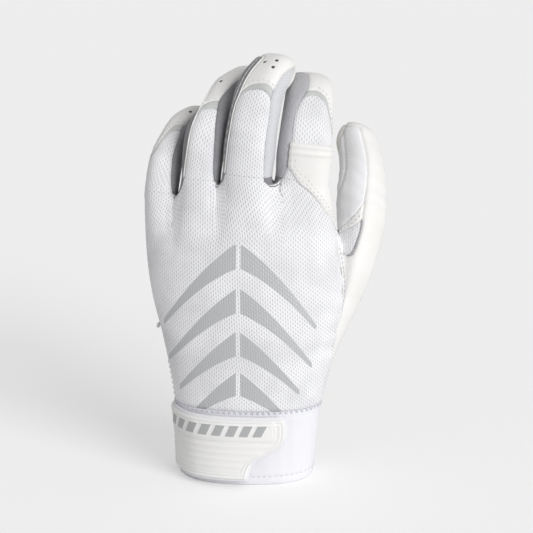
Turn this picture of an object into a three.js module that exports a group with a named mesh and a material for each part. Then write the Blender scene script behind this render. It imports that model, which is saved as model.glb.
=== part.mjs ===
// Batting glove for the left hand, standing on its cuff with the fingers relaxed.
// Millimetres. X runs to the thumb, Y from the back of the hand to the palm, Z from the cuff to the fingertips.
// Every sewn panel is a thin closed shell: a grid of points on the glove's outer surface, the same grid one wall
// further in, and a rim round both. Panels that share a seam are cut from one surface, half a seam gap from the seam.

import * as THREE from 'three';

// Hand and cuff
const HAND_LENGTH = 150;
const HAND_WIDTH = 96;
const HAND_DEPTH = 43;
const CUFF_HEIGHT = 38;
const KNUCKLE_BLEND = 38;
const CROTCH_DIP = 3.5;
const CROTCH_INSET = 2.8;

// Walls and gaps
const SEAM = 0.3;
const FABRIC = 1.0;
const LEATHER = 1.0;
const NEOPRENE = 2.0;
const CLEAR = 0.3;

// Fingers
const LITTLE_GAP = 2.8;
const RING_GAP = 1.1;
const INDEX_GAP = 2;
const MIDDLE_OFFSET = -0.5;
const KNUCKLE_SETBACK = 0.5;
const LITTLE_WIDTH = 16.4;
const LITTLE_DEPTH = 17.6;
const LITTLE_LENGTH = 54.9;
const LITTLE_DROP = 6.5;
const LITTLE_SETBACK = 6;
const RING_WIDTH = 18.9;
const RING_DEPTH = 18.8;
const RING_LENGTH = 72.9;
const RING_RISE = 1.5;
const MIDDLE_WIDTH = 24;
const MIDDLE_DEPTH = 20;
const MIDDLE_LENGTH = 64.5;
const MIDDLE_RISE = 4.5;
const MIDDLE_SETBACK = -3;
const INDEX_WIDTH = 23.8;
const INDEX_DEPTH = 20;
const INDEX_LENGTH = 63.5;
const INDEX_RISE = 1.5;
const INDEX_SETBACK = 2;
const BEND_SPAN = 20;
const TIP_ROUND = 11;
const TIP_LEATHER = 27;
const RING_TIP_LEATHER = 40;
const SEAM_DRAW_SPAN = 18;
const WALL_TAPER = 26;

// Thumb and the opening that it is set into
const THUMB_WIDTH = 27.6;
const THUMB_DEPTH = 26;
const THUMB_LENGTH = 102.3;
const THUMB_OFFSET = 41.3;
const THUMB_SETBACK = 13;
const THUMB_HEIGHT = 82;
const THUMB_BEND_SPAN = 24;
const THUMB_SPLIT = 54;
const THUMB_HOLE_LOW = 60;
const THUMB_HOLE_HIGH = 124;
const HOLE_GAP = 0.75;

// Slit at the little finger's side of the wrist
const SLIT_TOP = 75;
const SLIT_HALF = 2;
const BINDING_WIDTH = 6;
const BINDING = 1.6;
const BAR_TACK_LENGTH = 5;
const BAR_TACK_RADIUS = 1.1;

// Strap and its hook and loop
const STRAP_FOOT = 3;
const STRAP_HEIGHT = 33.5;
const STRAP_REACH = 66.5;
const STRAP_HINGE = 14;
const STRAP_ROOT = 15;
const STRAP = 1.0;
const STRAP_COVER = 1.0;
const COVER_INSET = 1.2;
const HOOK = 0.8;
const LOOP = 0.8;
const HOOK_INSET = 3;
const RAMP_START = 8;
const RAMP_END = 24;

// Leather overlay at the root of the index finger
const OVERLAY = 0.7;
const OVERLAY_DROP = 24;
const OVERLAY_RISE = 16.5;
const OVERLAY_EDGE = 1.5;

// Spacing of the points along a finger
const STATION = 7.5;

// Shape shares and angles
const HAND_POWER = 2.3;
const FINGER_POWER = 2.6;
const TIP_WIDTH_SHARE = 0.42;
const TWIST_START_SHARE = 0.35;
const TWIST_SPAN_SHARE = 0.45;
const BEND_SHARES = [0.3, 0.66];
const SIDE = 90;
const BACK_SEAM = 50;
const PALM_SEAM = 130;
const SEAM_DRAW = 8;
const LITTLE_SIDE_DRAW = 22;
const THUMB_LEAN = 26.5;
const THUMB_PITCH = 13;
const THUMB_YAW = -46;
const THUMB_OUTER_SEAM = 60;
const HOLE_BACK_TURN = 24;
const HOLE_PALM_TURN = 54;
const SIDE_TURN = 30;
const BINDING_END_SHARE = 0.8;
const SQUEEZE_NEAR = 0.8;
const SQUEEZE_FAR = 1.7;
const THUMB_LAUNCH_SHARE = 0.5;
const OVERLAY_TURN = 0.12;

// Level of the hand's length, then centre and half width of its width, back depth, palm depth and arch of its depth
const HAND_SHARES = [
  [0, -0.0104, 0.3542, 0.523, 0.465, 0],
  [0.2533, 0, 0.3854, 0.488, 0.477, 0],
  [0.4667, 0.0104, 0.4583, 0.477, 0.477, 0.047],
  [0.6133, -0.0052, 0.5, 0.442, 0.419, 0.093],
  [0.7733, -0.0365, 0.5, 0.395, 0.326, 0.14],
  [1, -0.0521, 0.4792, 0.302, 0.209, 0.163],
];

// Height share of the strap, then how far its end reaches, as a share of the strap's reach
const STRAP_END_SHARES = [
  [0, 0.73],
  [0.3, 0.78],
  [0.45, 0.9],
  [0.6, 0.985],
  [0.78, 1],
  [0.94, 0.98],
  [1, 0.94],
];

// Share of the thumb base's length, then the seam between leather and knitted corner, as a share of a half turn
const CORNER_SHARES = [
  [0, 0.75],
  [0.37, 0.644],
  [0.667, 0.544],
  [0.778, 0.444],
  [0.926, 0.376],
  [1, 0.372],
];

const HALF = 0.5;
const STEP = 1e-4;

const rad = THREE.MathUtils.degToRad;
const lerp = THREE.MathUtils.lerp;
const clamp = THREE.MathUtils.clamp;
const vec = (x, y, z) => new THREE.Vector3(x, y, z);
const spread = (from, to, count) =>
  Array.from({ length: count + 1 }, (_, k) => lerp(from, to, k / count));

function ease(t) {
  const q = clamp(t, 0, 1);
  return q * q * (3 - 2 * q);
}

// Signed power of a sine or cosine, which squares up an ellipse
function corner(value, power) {
  return Math.sign(value) * Math.abs(value) ** (2 / power);
}

// Cubic interpolation of every column of a table over its first column
function stationAt(table, level) {
  const last = table.length - 1;
  const slope = (k, c) => {
    const a = table[Math.max(k - 1, 0)];
    const b = table[Math.min(k + 1, last)];
    return (b[c] - a[c]) / (b[0] - a[0]);
  };
  let k = 0;
  while (k < last - 1 && level > table[k + 1][0]) {
    k += 1;
  }
  const h = table[k + 1][0] - table[k][0];
  const q = clamp((level - table[k][0]) / h, 0, 1);
  return table[k].map((start, c) => {
    const end = table[k + 1][c];
    const rise = q * q * (3 - 2 * q);
    const leave = q * (1 - q) ** 2 * h * slope(k, c);
    const arrive = q * q * (q - 1) * h * slope(k + 1, c);
    return start + (end - start) * rise + leave + arrive;
  });
}

// Outer section of the hand at a level; phi runs from the little finger's side, 0, to the thumb's side, pi
function section(z) {
  const [, centre, width, back, palm, arch] = stationAt(HAND_SHARES, z / HAND_LENGTH);
  return {
    centre: centre * HAND_WIDTH,
    half: width * HAND_WIDTH,
    back: back * HAND_DEPTH,
    palm: palm * HAND_DEPTH,
    arch: arch * HAND_DEPTH,
  };
}

function barePoint(phi, z, side) {
  const s = section(z);
  const across = -corner(Math.cos(phi), HAND_POWER);
  const depth = side < 0 ? s.back : s.palm;
  const y = side * depth * corner(Math.sin(phi), HAND_POWER) + s.arch * across * across;
  return vec(s.centre + s.half * across, y, z);
}

function phiAt(x, z) {
  const s = section(z);
  const share = clamp((x - s.centre) / s.half, -1, 1);
  return Math.acos(-Math.sign(share) * Math.abs(share) ** (HAND_POWER / 2));
}

// Angle from the side line at which the section stands a given distance off it
function phiOff(offset, z, side) {
  const s = section(z);
  const share = Math.min(offset / (side < 0 ? s.back : s.palm), 1);
  return Math.asin(share ** (HAND_POWER / 2));
}

// A finger or thumb: its frame at the root and its curved centre line
function digit(spec) {
  const along = vec(Math.tan(rad(spec.lean)), Math.tan(rad(spec.pitch)), 1).normalize();
  const across = vec(Math.cos(rad(spec.yaw)), -Math.sin(rad(spec.yaw)), 0);
  across.addScaledVector(along, -across.dot(along)).normalize();
  const dorsal = vec(0, 0, 0).crossVectors(across, along);
  const angleAt = (s) =>
    spec.bends.reduce((sum, [at, turn]) => sum + rad(turn) * ease((s - at) / spec.span + HALF), 0);
  const count = 240;
  const step = spec.length / count;
  const rises = [0];
  const reaches = [0];
  for (let k = 0; k < count; k += 1) {
    const angle = angleAt((k + HALF) * step);
    rises.push(rises[k] + Math.cos(angle) * step);
    reaches.push(reaches[k] + Math.sin(angle) * step);
  }
  const lineAt = (s) => {
    const place = clamp(s / step, 0, count - 1 + HALF);
    const k = Math.min(Math.floor(place), count - 1);
    const rise = lerp(rises[k], rises[k + 1], s / step - k);
    const reach = lerp(reaches[k], reaches[k + 1], s / step - k);
    const angle = angleAt(s);
    return {
      centre: spec.root.clone().addScaledVector(along, rise).addScaledVector(dorsal, -reach),
      up: dorsal.clone().multiplyScalar(Math.cos(angle)).addScaledVector(along, Math.sin(angle)),
    };
  };
  const straight = spec.length - TIP_ROUND;
  return { ...spec, along, across, dorsal, lineAt, straight };
}

// Distance walked along a digit, with the rounded tip walked as a quarter circle
function tipAngle(d, walk) {
  return Math.max(0, (walk - d.straight) / TIP_ROUND);
}

function digitSize(d, walk) {
  const turn = tipAngle(d, walk);
  const s = turn > 0 ? d.straight + TIP_ROUND * Math.sin(turn) : walk;
  const taper = 1 - d.taperShare * ease(s / d.length);
  return {
    s,
    half: d.width * HALF * taper * (1 - (1 - TIP_WIDTH_SHARE) * (1 - Math.cos(turn))),
    deep: d.depth * HALF * taper * Math.cos(turn),
  };
}

// theta 0 is the back of the digit, 90 degrees the side towards the thumb. The root faces back; from there
// the section twists into the plane of the curl.
function digitPoint(d, theta, walk) {
  const { s, half, deep } = digitSize(d, walk);
  const { centre, up } = d.lineAt(s);
  const twisted = ease((walk / d.length - TWIST_START_SHARE) / TWIST_SPAN_SHARE);
  const twist = rad(d.yaw - d.facing) * (1 - twisted);
  const x = half * corner(Math.sin(theta), FINGER_POWER);
  const y = deep * corner(Math.cos(theta), FINGER_POWER);
  return centre
    .addScaledVector(d.across, x * Math.cos(twist) + y * Math.sin(twist))
    .addScaledVector(up, y * Math.cos(twist) - x * Math.sin(twist));
}

// Walk at which back and palm are one seam gap apart at the fingertip
function digitEnd(d) {
  const deep = d.depth * HALF * (1 - d.taperShare);
  return d.straight + TIP_ROUND * Math.acos(SEAM / deep);
}

// Stations along a digit: even steps to the leather tip and on to the rounding, then even turns round it
const TIP_TURNS = 4;
function stations(d, from, split) {
  const steps = (a, b) => spread(a, b, Math.max(1, Math.round((b - a) / STATION))).slice(1);
  const rounding = spread(d.straight, digitEnd(d), TIP_TURNS);
  return [from, ...steps(from, split), ...steps(split, d.straight), ...rounding.slice(1)];
}

// Walk at one of the turns round the tip
function tipWalk(d, turn) {
  return lerp(d.straight, digitEnd(d), turn / TIP_TURNS);
}

// Seam angle on one side of a digit: a wall's seams run together half way round the tip
function seamAngle(d, base, walk) {
  const end = tipWalk(d, TIP_TURNS * HALF);
  return lerp(rad(base), rad(SIDE), ease((walk - end + WALL_TAPER) / WALL_TAPER));
}

// A finger's back seam draws in over its root
function backSeamAngle(d, walk) {
  return seamAngle(d, BACK_SEAM - SEAM_DRAW * ease(walk / SEAM_DRAW_SPAN), walk);
}

// The little finger's outer seam draws in too, so that the palm's leather shows along its side
function littleSideAngle(d, walk) {
  return seamAngle(d, SIDE - LITTLE_SIDE_DRAW * ease(walk / SEAM_DRAW_SPAN), walk);
}

// Angle half a seam gap, or another distance, to one side of a seam, measured on the surface
function beside(surface, theta, walk, sign, distance = SEAM * HALF) {
  const seam = surface(theta, walk);
  let near = 0;
  let far = rad(45);
  for (let k = 0; k < 24; k += 1) {
    const turn = (near + far) * HALF;
    if (surface(theta + sign * turn, walk).distanceTo(seam) < distance) {
      near = turn;
    } else {
      far = turn;
    }
  }
  return theta + sign * far;
}

const little = {
  name: 'little', width: LITTLE_WIDTH, depth: LITTLE_DEPTH, length: LITTLE_LENGTH, leather: TIP_LEATHER,
  rise: -LITTLE_DROP, setback: LITTLE_SETBACK, lean: 6, pitch: 7, yaw: 34, facing: 0, turns: [36, 38],
  taperShare: 0.22,
};
const ring = {
  name: 'ring', width: RING_WIDTH, depth: RING_DEPTH, length: RING_LENGTH, leather: RING_TIP_LEATHER,
  rise: RING_RISE, setback: KNUCKLE_SETBACK, lean: 4.6, pitch: 4, yaw: 29, facing: 3, turns: [44, 29],
  taperShare: 0.14,
};
const middle = {
  name: 'middle', width: MIDDLE_WIDTH, depth: MIDDLE_DEPTH, length: MIDDLE_LENGTH, leather: TIP_LEATHER,
  rise: MIDDLE_RISE, setback: MIDDLE_SETBACK, lean: 4.5, pitch: 3, yaw: 28, facing: 8, turns: [15, 44],
  taperShare: 0.13,
};
const index = {
  name: 'index', width: INDEX_WIDTH, depth: INDEX_DEPTH, length: INDEX_LENGTH, leather: TIP_LEATHER,
  rise: INDEX_RISE, setback: INDEX_SETBACK, lean: 10.2, pitch: 3, yaw: -11, facing: -8, turns: [24, 56],
  taperShare: 0.21,
};

// The fingers stand side by side, one gap apart, outward from the middle finger
const seenHalf = (spec) => spec.width * HALF * Math.cos(rad(spec.facing));
middle.x = MIDDLE_OFFSET;
ring.x = middle.x - seenHalf(middle) - RING_GAP - seenHalf(ring);
little.x = ring.x - seenHalf(ring) - LITTLE_GAP - seenHalf(little);
index.x = middle.x + seenHalf(middle) + INDEX_GAP + seenHalf(index);

const fingers = [little, ring, middle, index].map((spec) =>
  digit({
    ...spec,
    root: vec(spec.x, spec.setback, HAND_LENGTH + spec.rise),
    bends: BEND_SHARES.map((share, k) => [share * spec.length, spec.turns[k]]),
    span: BEND_SPAN,
  }));
const [LITTLE, RING, MIDDLE, INDEX] = fingers;

const THUMB_BEND_SHARES = [0.297, 0.733];
const THUMB = digit({
  name: 'thumb', width: THUMB_WIDTH, depth: THUMB_DEPTH, length: THUMB_LENGTH,
  root: vec(THUMB_OFFSET, THUMB_SETBACK, THUMB_HEIGHT),
  lean: THUMB_LEAN, pitch: THUMB_PITCH, yaw: THUMB_YAW, facing: THUMB_YAW, taperShare: 0.25,
  bends: THUMB_BEND_SHARES.map((share, k) => [share * THUMB_LENGTH, [29, 20][k]]),
  span: THUMB_BEND_SPAN,
});

// Upper edge of the hand: round each finger's root, with a dip at each crotch between two fingers
function dipPoint(left, right, leftTheta, rightTheta, q, dip) {
  const a = digitPoint(left, leftTheta, -SEAM * HALF);
  const b = digitPoint(right, rightTheta, -SEAM * HALF);
  const middlePoint = a.clone().add(b).multiplyScalar(HALF);
  const halfSpan = a.clone().sub(b).multiplyScalar(HALF);
  const up = left.along.clone().add(right.along).normalize();
  return middlePoint
    .addScaledVector(halfSpan, Math.cos(Math.PI * q))
    .addScaledVector(up, -dip * Math.sin(Math.PI * q));
}

function topEdge(side) {
  const near = side < 0 ? BACK_SEAM : PALM_SEAM;
  const pieces = [];
  fingers.forEach((finger, k) => {
    const from = k === 0 ? -SIDE : -near;
    const to = k === fingers.length - 1 ? SIDE : near;
    const wrap = side < 0 ? 0 : 360;
    const last = side < 0 ? to : to - wrap;
    pieces.push({ at: (t) => digitPoint(finger, rad(lerp(from, last, t)), -SEAM * HALF) });
    if (k < fingers.length - 1) {
      const next = fingers[k + 1];
      pieces.push({ at: (t) => dipPoint(finger, next, rad(near), rad(-near), t, CROTCH_DIP) });
    }
  });
  const ends = pieces.map((piece) => phiAt(piece.at(1).x, HAND_LENGTH));
  ends[ends.length - 1] = Math.PI;
  return pieces.map((piece, k) => ({ ...piece, from: k === 0 ? 0 : ends[k - 1], to: ends[k] }));
}
const TOP_EDGES = { back: topEdge(-1), palm: topEdge(1) };

function topPoint(phi, side) {
  const edge = side < 0 ? TOP_EDGES.back : TOP_EDGES.palm;
  const piece = edge.find((p) => phi <= p.to) ?? edge[edge.length - 1];
  return piece.at((phi - piece.from) / (piece.to - piece.from));
}

// The hand's surface, carried up to the finger roots over the last stretch of its length
function handPoint(phi, z, side) {
  const point = barePoint(phi, z, side);
  const weight = ease((z - HAND_LENGTH + KNUCKLE_BLEND) / KNUCKLE_BLEND);
  if (weight > 0) {
    const shift = topPoint(phi, side).sub(barePoint(phi, HAND_LENGTH, side));
    point.addScaledVector(shift, weight);
  }
  return point;
}

// Level of the thumb opening's edge: theta 0 is its lowest point, 180 degrees the crotch
function holeLevel(theta) {
  const middleLevel = (THUMB_HOLE_LOW + THUMB_HOLE_HIGH) * HALF;
  return middleLevel - (THUMB_HOLE_HIGH - THUMB_HOLE_LOW) * HALF * Math.cos(theta);
}

// The hand's surface all round: psi runs from the little finger's side over the back, pi is the thumb's side line
function handAround(psi, z) {
  return psi <= Math.PI ? handPoint(psi, z, -1) : handPoint(2 * Math.PI - psi, z, 1);
}

// The thumb's side seam swings to the palm up to the crotch, and back to the side line at the index finger
function sideSeam(z) {
  const up = ease((z - THUMB_HOLE_LOW) / (THUMB_HOLE_HIGH - THUMB_HOLE_LOW));
  const on = ease((z - THUMB_HOLE_HIGH) / (HAND_LENGTH - THUMB_HOLE_HIGH));
  return Math.PI + rad(SIDE_TURN) * (up - on);
}

function holePoint(theta) {
  const z = holeLevel(theta);
  const turn = rad(Math.sin(theta) < 0 ? HOLE_BACK_TURN : HOLE_PALM_TURN);
  return handAround(sideSeam(z) + turn * Math.sin(theta), z);
}

// The thumb's base leaves the opening's edge and runs into the thumb's tube
function thumbPoint(theta, walk) {
  const weight = ease(walk / THUMB_SPLIT);
  const tube = digitPoint(THUMB, theta, walk);
  if (weight >= 1) {
    return tube;
  }
  const start = holePoint(theta).addScaledVector(THUMB.along, walk * THUMB_LAUNCH_SHARE);
  return start.lerp(tube, weight);
}

// Limits of a hand panel at a level, on the slit's side and on the thumb's side
function slitOffset(z) {
  return Math.max(SEAM * HALF, (SLIT_HALF + BINDING_WIDTH) * (1 - z / SLIT_TOP));
}

function panelLimits(z, side) {
  const low = phiOff(slitOffset(z), z, side);
  const reach = (THUMB_HOLE_HIGH - THUMB_HOLE_LOW) * HALF;
  const rise = (z - THUMB_HOLE_LOW - reach) / reach;
  const turn = rad(side < 0 ? HOLE_BACK_TURN : HOLE_PALM_TURN);
  const open = turn * Math.sqrt(Math.max(0, 1 - rise * rise));
  const gap = open > 0 ? HOLE_GAP : SEAM * HALF;
  const edge = beside(handAround, sideSeam(z) + side * open, z, side, gap);
  return { low, high: side < 0 ? edge : 2 * Math.PI - edge };
}

// Draws the columns near either limit in towards it
function squeezed(phi, z, side) {
  const { low, high } = panelLimits(z, side);
  if (phi < SQUEEZE_NEAR) {
    return lerp(low, SQUEEZE_NEAR, phi / SQUEEZE_NEAR);
  }
  const far = Math.PI - SQUEEZE_FAR;
  if (phi > far) {
    return lerp(far, high, (phi - far) / SQUEEZE_FAR);
  }
  return phi;
}

// Outward normal of a surface of two parameters, by differences
function normalAt(surface, u, v, level) {
  const du = surface(u + STEP, v).sub(surface(u - STEP, v));
  const dv = surface(u, v + STEP).sub(surface(u, v - STEP));
  const normal = du.cross(dv);
  if (level) {
    normal.z = 0;
  }
  return normal.normalize();
}

// A closed shell on a surface between two offsets from it, its places given by a grid of parameters
function shell(surface, grid, { outer = 0, inner, flip = false, level = false }) {
  const rows = grid.length;
  const cols = grid[0].length;
  const positions = [];
  const sign = flip ? -1 : 1;
  for (const offset of [outer, inner]) {
    for (const row of grid) {
      for (const [u, v] of row) {
        const normal = normalAt(surface, u, v, level);
        const lift = typeof offset === 'function' ? offset(u, v) : offset;
        positions.push(...surface(u, v).addScaledVector(normal, sign * lift).toArray());
      }
    }
  }
  const count = rows * cols;
  const at = (r, c) => r * cols + c;
  const triangles = [];
  const put = (a, b, c) => triangles.push(...(flip ? [a, c, b] : [a, b, c]));
  for (let r = 0; r < rows - 1; r += 1) {
    for (let c = 0; c < cols - 1; c += 1) {
      const [p, q, s, t] = [at(r, c), at(r, c + 1), at(r + 1, c + 1), at(r + 1, c)];
      put(p, q, s);
      put(p, s, t);
      put(count + p, count + s, count + q);
      put(count + p, count + t, count + s);
    }
  }
  const edge = [];
  for (let c = 0; c < cols - 1; c += 1) {
    edge.push(at(0, c));
  }
  for (let r = 0; r < rows - 1; r += 1) {
    edge.push(at(r, cols - 1));
  }
  for (let c = cols - 1; c > 0; c -= 1) {
    edge.push(at(rows - 1, c));
  }
  for (let r = rows - 1; r > 0; r -= 1) {
    edge.push(at(r, 0));
  }
  edge.forEach((p, k) => {
    const q = edge[(k + 1) % edge.length];
    put(q, p, count + p);
    put(q, count + p, count + q);
  });
  const geometry = new THREE.BufferGeometry();
  geometry.setAttribute('position', new THREE.Float32BufferAttribute(positions, 3));
  geometry.setIndex(triangles);
  return geometry;
}

const paint = (color, roughness) => new THREE.MeshStandardMaterial({ color, roughness, metalness: 0 });
const MESH_FABRIC = paint('#E9E9EA', 0.85);
const WHITE_LEATHER = paint('#F2F1EE', 0.55);
const GREY_SPANDEX = paint('#C9C9CC', 0.8);
const WHITE_NEOPRENE = paint('#F0EFF2', 0.8);
const MOULDED_TPU = paint('#E9E7DF', 0.45);
const HOOK_NYLON = paint('#DEDEDC', 0.7);
const THREAD = paint('#D4D4D8', 0.6);

const glove = new THREE.Group();
function add(name, geometry, material) {
  const mesh = new THREE.Mesh(geometry, material);
  mesh.name = name;
  glove.add(mesh);
}

function strip(rows, columns, fromAt, toAt) {
  return rows.map((walk) => spread(fromAt(walk), toAt(walk), columns).map((theta) => [theta, walk]));
}

// Finger panels: knitted back, leather tip, leather palm side, and a knitted wall towards each neighbour
fingers.forEach((d, k) => {
  const surface = (theta, walk) => digitPoint(d, theta, walk);
  const first = k === 0;
  const last = k === fingers.length - 1;
  const wallSeam = (w) => backSeamAngle(d, w);
  const leftSeam = first ? (w) => littleSideAngle(d, w) : wallSeam;
  const rightSeam = last ? () => rad(SIDE) : wallSeam;
  const leftBack = (w) => beside(surface, -leftSeam(w), w, 1);
  const rightBack = (w) => beside(surface, rightSeam(w), w, -1);
  const tipStart = d.length - d.leather;
  const rows = stations(d, SEAM * HALF, tipStart);
  const backRows = [...rows.filter((w) => w < tipStart - SEAM), tipStart - SEAM * HALF];
  const tipRows = [tipStart + SEAM * HALF, ...rows.filter((w) => w > tipStart + SEAM)];

  const back = strip(backRows, 5, leftBack, rightBack);
  add(`${d.name}_back`, shell(surface, back, { inner: -FABRIC }), MESH_FABRIC);

  const tip = strip(tipRows, 5, leftBack, rightBack);
  add(`${d.name}_tip`, shell(surface, tip, { inner: -LEATHER }), WHITE_LEATHER);

  // On the palm side the angle runs on from the thumb's side of the digit round to its other side
  const palmFrom = (w) => rad(180) - rightBack(w);
  const palmTo = (w) =>
    (first ? rad(360) + beside(surface, -leftSeam(w), w, -1) : rad(180) - leftBack(w));
  const palm = strip(rows, 5, palmFrom, palmTo);
  add(`${d.name}_palm`, shell(surface, palm, { inner: -LEATHER }), WHITE_LEATHER);

  const wallRows = rows.filter((w) => w < tipWalk(d, 1) + SEAM);
  const wallLow = (w) => beside(surface, wallSeam(w), w, 1);
  const wallHigh = (w) => rad(180) - wallLow(w);
  const sides = [];
  if (!first) {
    sides.push(['outer', -1]);
  }
  if (!last) {
    sides.push(['inner', 1]);
  }
  for (const [word, sign] of sides) {
    const from = sign > 0 ? wallLow : (w) => -wallHigh(w);
    const to = sign > 0 ? wallHigh : (w) => -wallLow(w);
    const wall = strip(wallRows, 2, from, to);
    add(`${d.name}_${word}_wall`, shell(surface, wall, { inner: -FABRIC }), GREY_SPANDEX);
  }
});

// Crotches: saddles between neighbouring fingers, behind the back panel's edge and before the palm panel's
for (let k = 0; k < fingers.length - 1; k += 1) {
  const [left, right] = [fingers[k], fingers[k + 1]];
  const depth = Math.min(left.depth, right.depth) * corner(Math.cos(rad(BACK_SEAM)), FINGER_POWER);
  const inset = (CROTCH_INSET / depth) * rad(PALM_SEAM - BACK_SEAM);
  const saddle = (q, theta) => dipPoint(left, right, theta, -theta, q, CROTCH_DIP);
  const thetas = spread(rad(BACK_SEAM) + inset, rad(PALM_SEAM) - inset, 3);
  const grid = thetas.map((theta) => spread(0, 1, 6).map((q) => [q, theta]));
  add(`${left.name}_${right.name}_crotch`, shell(saddle, grid, { inner: -FABRIC }), GREY_SPANDEX);
}

// Back and palm panels of the hand
const LEVEL_TURNS = spread(0, 180, 6).map((turn) => holeLevel(rad(turn)));
const panelRows = [
  CUFF_HEIGHT + SEAM * HALF,
  lerp(CUFF_HEIGHT, THUMB_HOLE_LOW, HALF),
  ...LEVEL_TURNS,
  ...spread(THUMB_HOLE_HIGH, HAND_LENGTH, 4).slice(1),
];
for (const [name, side, material, wall] of [
  ['back_panel', -1, MESH_FABRIC, FABRIC],
  ['palm_panel', 1, WHITE_LEATHER, LEATHER],
]) {
  const edge = side < 0 ? TOP_EDGES.back : TOP_EDGES.palm;
  const columns = [0];
  edge.forEach((piece) => columns.push(...spread(piece.from, piece.to, 3).slice(1)));
  const around = (phi) => (side < 0 ? phi : 2 * Math.PI - phi);
  const surface = (phi, z) => handAround(around(squeezed(phi, z, side)), z);
  const grid = panelRows.map((z) =>
    columns.map((phi) => [clamp(phi, STEP, Math.PI - STEP), Math.min(z, HAND_LENGTH - STEP)]));
  add(name, shell(surface, grid, { inner: -wall, flip: side > 0 }), material);
}

// Thumb: leather base and knitted corner set into the hand, then leather back, leather pad and spandex gusset
const thumbSurface = (theta, walk) => thumbPoint(theta, walk);
const cornerTurn = (w) => 180 * stationAt(CORNER_SHARES, Math.min(w / THUMB_SPLIT, 1))[1];
const backSeam = (w) => -seamAngle(THUMB, cornerTurn(w), w);
const outerSeam = (w) => seamAngle(THUMB, THUMB_OUTER_SEAM, w);
const crotchSeam = (w) => -rad(180) + seamAngle(THUMB, 0, w);
const besideThumb = (seam, sign, turn = 0, distance = SEAM * HALF) => (w) =>
  beside(thumbSurface, seam(w) + turn, w, sign, distance);
const thumbRoot = spread(SEAM / THUMB_LAUNCH_SHARE, THUMB_SPLIT - SEAM * HALF, 5);
const thumbTube = stations(THUMB, THUMB_SPLIT + SEAM * HALF, THUMB.straight - STATION);
const gussetTube = thumbTube.filter((w) => w < tipWalk(THUMB, 1) + SEAM);
const backFrom = besideThumb(backSeam, 1);
const backTo = besideThumb(outerSeam, -1);
const padFrom = besideThumb(outerSeam, 1);
const padTo = besideThumb(crotchSeam, -1, rad(360));
const gussetFrom = besideThumb(crotchSeam, 1, 0, SEAM);
const gussetTo = besideThumb(backSeam, -1);
for (const [name, rows, columns, from, to, material, wall] of [
  ['thumb_base', thumbRoot, 5, backFrom, backTo, WHITE_LEATHER, LEATHER],
  ['thumb_heel', thumbRoot, 4, padFrom, padTo, WHITE_LEATHER, LEATHER],
  ['thumb_corner', thumbRoot, 3, gussetFrom, gussetTo, MESH_FABRIC, FABRIC],
  ['thumb_back', thumbTube, 5, backFrom, backTo, WHITE_LEATHER, LEATHER],
  ['thumb_pad', thumbTube, 4, padFrom, padTo, WHITE_LEATHER, LEATHER],
  ['thumb_gusset', gussetTube, 3, gussetFrom, gussetTo, GREY_SPANDEX, FABRIC],
]) {
  const grid = strip(rows, columns, from, to);
  add(name, shell(thumbSurface, grid, { inner: -wall }), material);
}

// Leather overlay across the root of the index finger
{
  const indexEdge = TOP_EDGES.back[TOP_EDGES.back.length - 1];
  const surface = (phi, z) => handPoint(phi, z, -1);
  const foot = HAND_LENGTH - OVERLAY_DROP;
  const grid = spread(foot, HAND_LENGTH - OVERLAY_EDGE, 5).map((z) => {
    const share = (z - foot) / (OVERLAY_DROP - OVERLAY_EDGE);
    const left = lerp(Math.PI - OVERLAY_TURN, indexEdge.from, Math.sqrt(share));
    return spread(left, Math.PI - OVERLAY_TURN * HALF, 5).map((phi) => [phi, z]);
  });
  const lift = CLEAR + SEAM;
  add('index_overlay', shell(surface, grid, { outer: lift + OVERLAY, inner: lift }), WHITE_LEATHER);

  const finger = (theta, walk) => digitPoint(INDEX, theta, walk);
  const inset = OVERLAY_EDGE / (INDEX.depth * HALF);
  const rows = stations(INDEX, SEAM * HALF, INDEX.length - INDEX.leather).filter((w) => w < OVERLAY_RISE);
  const left = (w) => -backSeamAngle(INDEX, w) + inset;
  const cap = strip([...rows, OVERLAY_RISE], 5, left, () => rad(SIDE) - inset);
  add('index_cap', shell(finger, cap, { outer: CLEAR + OVERLAY, inner: CLEAR }), WHITE_LEATHER);
}

// Cuff: one band round the wrist, open at the slit; psi runs from the little finger's side over the back
function wristPoint(psi, z) {
  const s = section(z);
  const across = -corner(Math.cos(psi), HAND_POWER);
  const depth = Math.sin(psi) < 0 ? s.palm : s.back;
  const y = -depth * corner(Math.sin(psi), HAND_POWER) + s.arch * across * across;
  return vec(s.centre + s.half * across, y, z);
}
const cuffRows = spread(0, CUFF_HEIGHT - SEAM * HALF, 3);
{
  const grid = cuffRows.map((z) => {
    const from = phiOff(slitOffset(z), z, -1);
    const to = rad(360) - phiOff(slitOffset(z), z, 1);
    return spread(from, to, 28).map((psi) => [psi, z]);
  });
  add('cuff_band', shell(wristPoint, grid, { inner: -NEOPRENE, level: true }), WHITE_NEOPRENE);
}

// Leather binding along both edges of the slit, ending below the bar tack
for (const [name, side] of [['slit_binding_back', 1], ['slit_binding_palm', -1]]) {
  const top = SLIT_TOP * BINDING_END_SHARE;
  const rows = [...cuffRows, ...spread(CUFF_HEIGHT, top, 3).slice(1)];
  const grid = rows.map((z) => {
    const lip = SLIT_HALF * (1 - z / SLIT_TOP) + SEAM * HALF;
    const seam = slitOffset(z) - SEAM - SEAM * HALF;
    const near = side * phiOff(lip, z, -side);
    const far = side * phiOff(seam, z, -side);
    return spread(Math.min(near, far), Math.max(near, far), 2).map((psi) => [psi, z]);
  });
  add(name, shell(wristPoint, grid, { inner: -BINDING, level: true }), WHITE_LEATHER);
}

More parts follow.
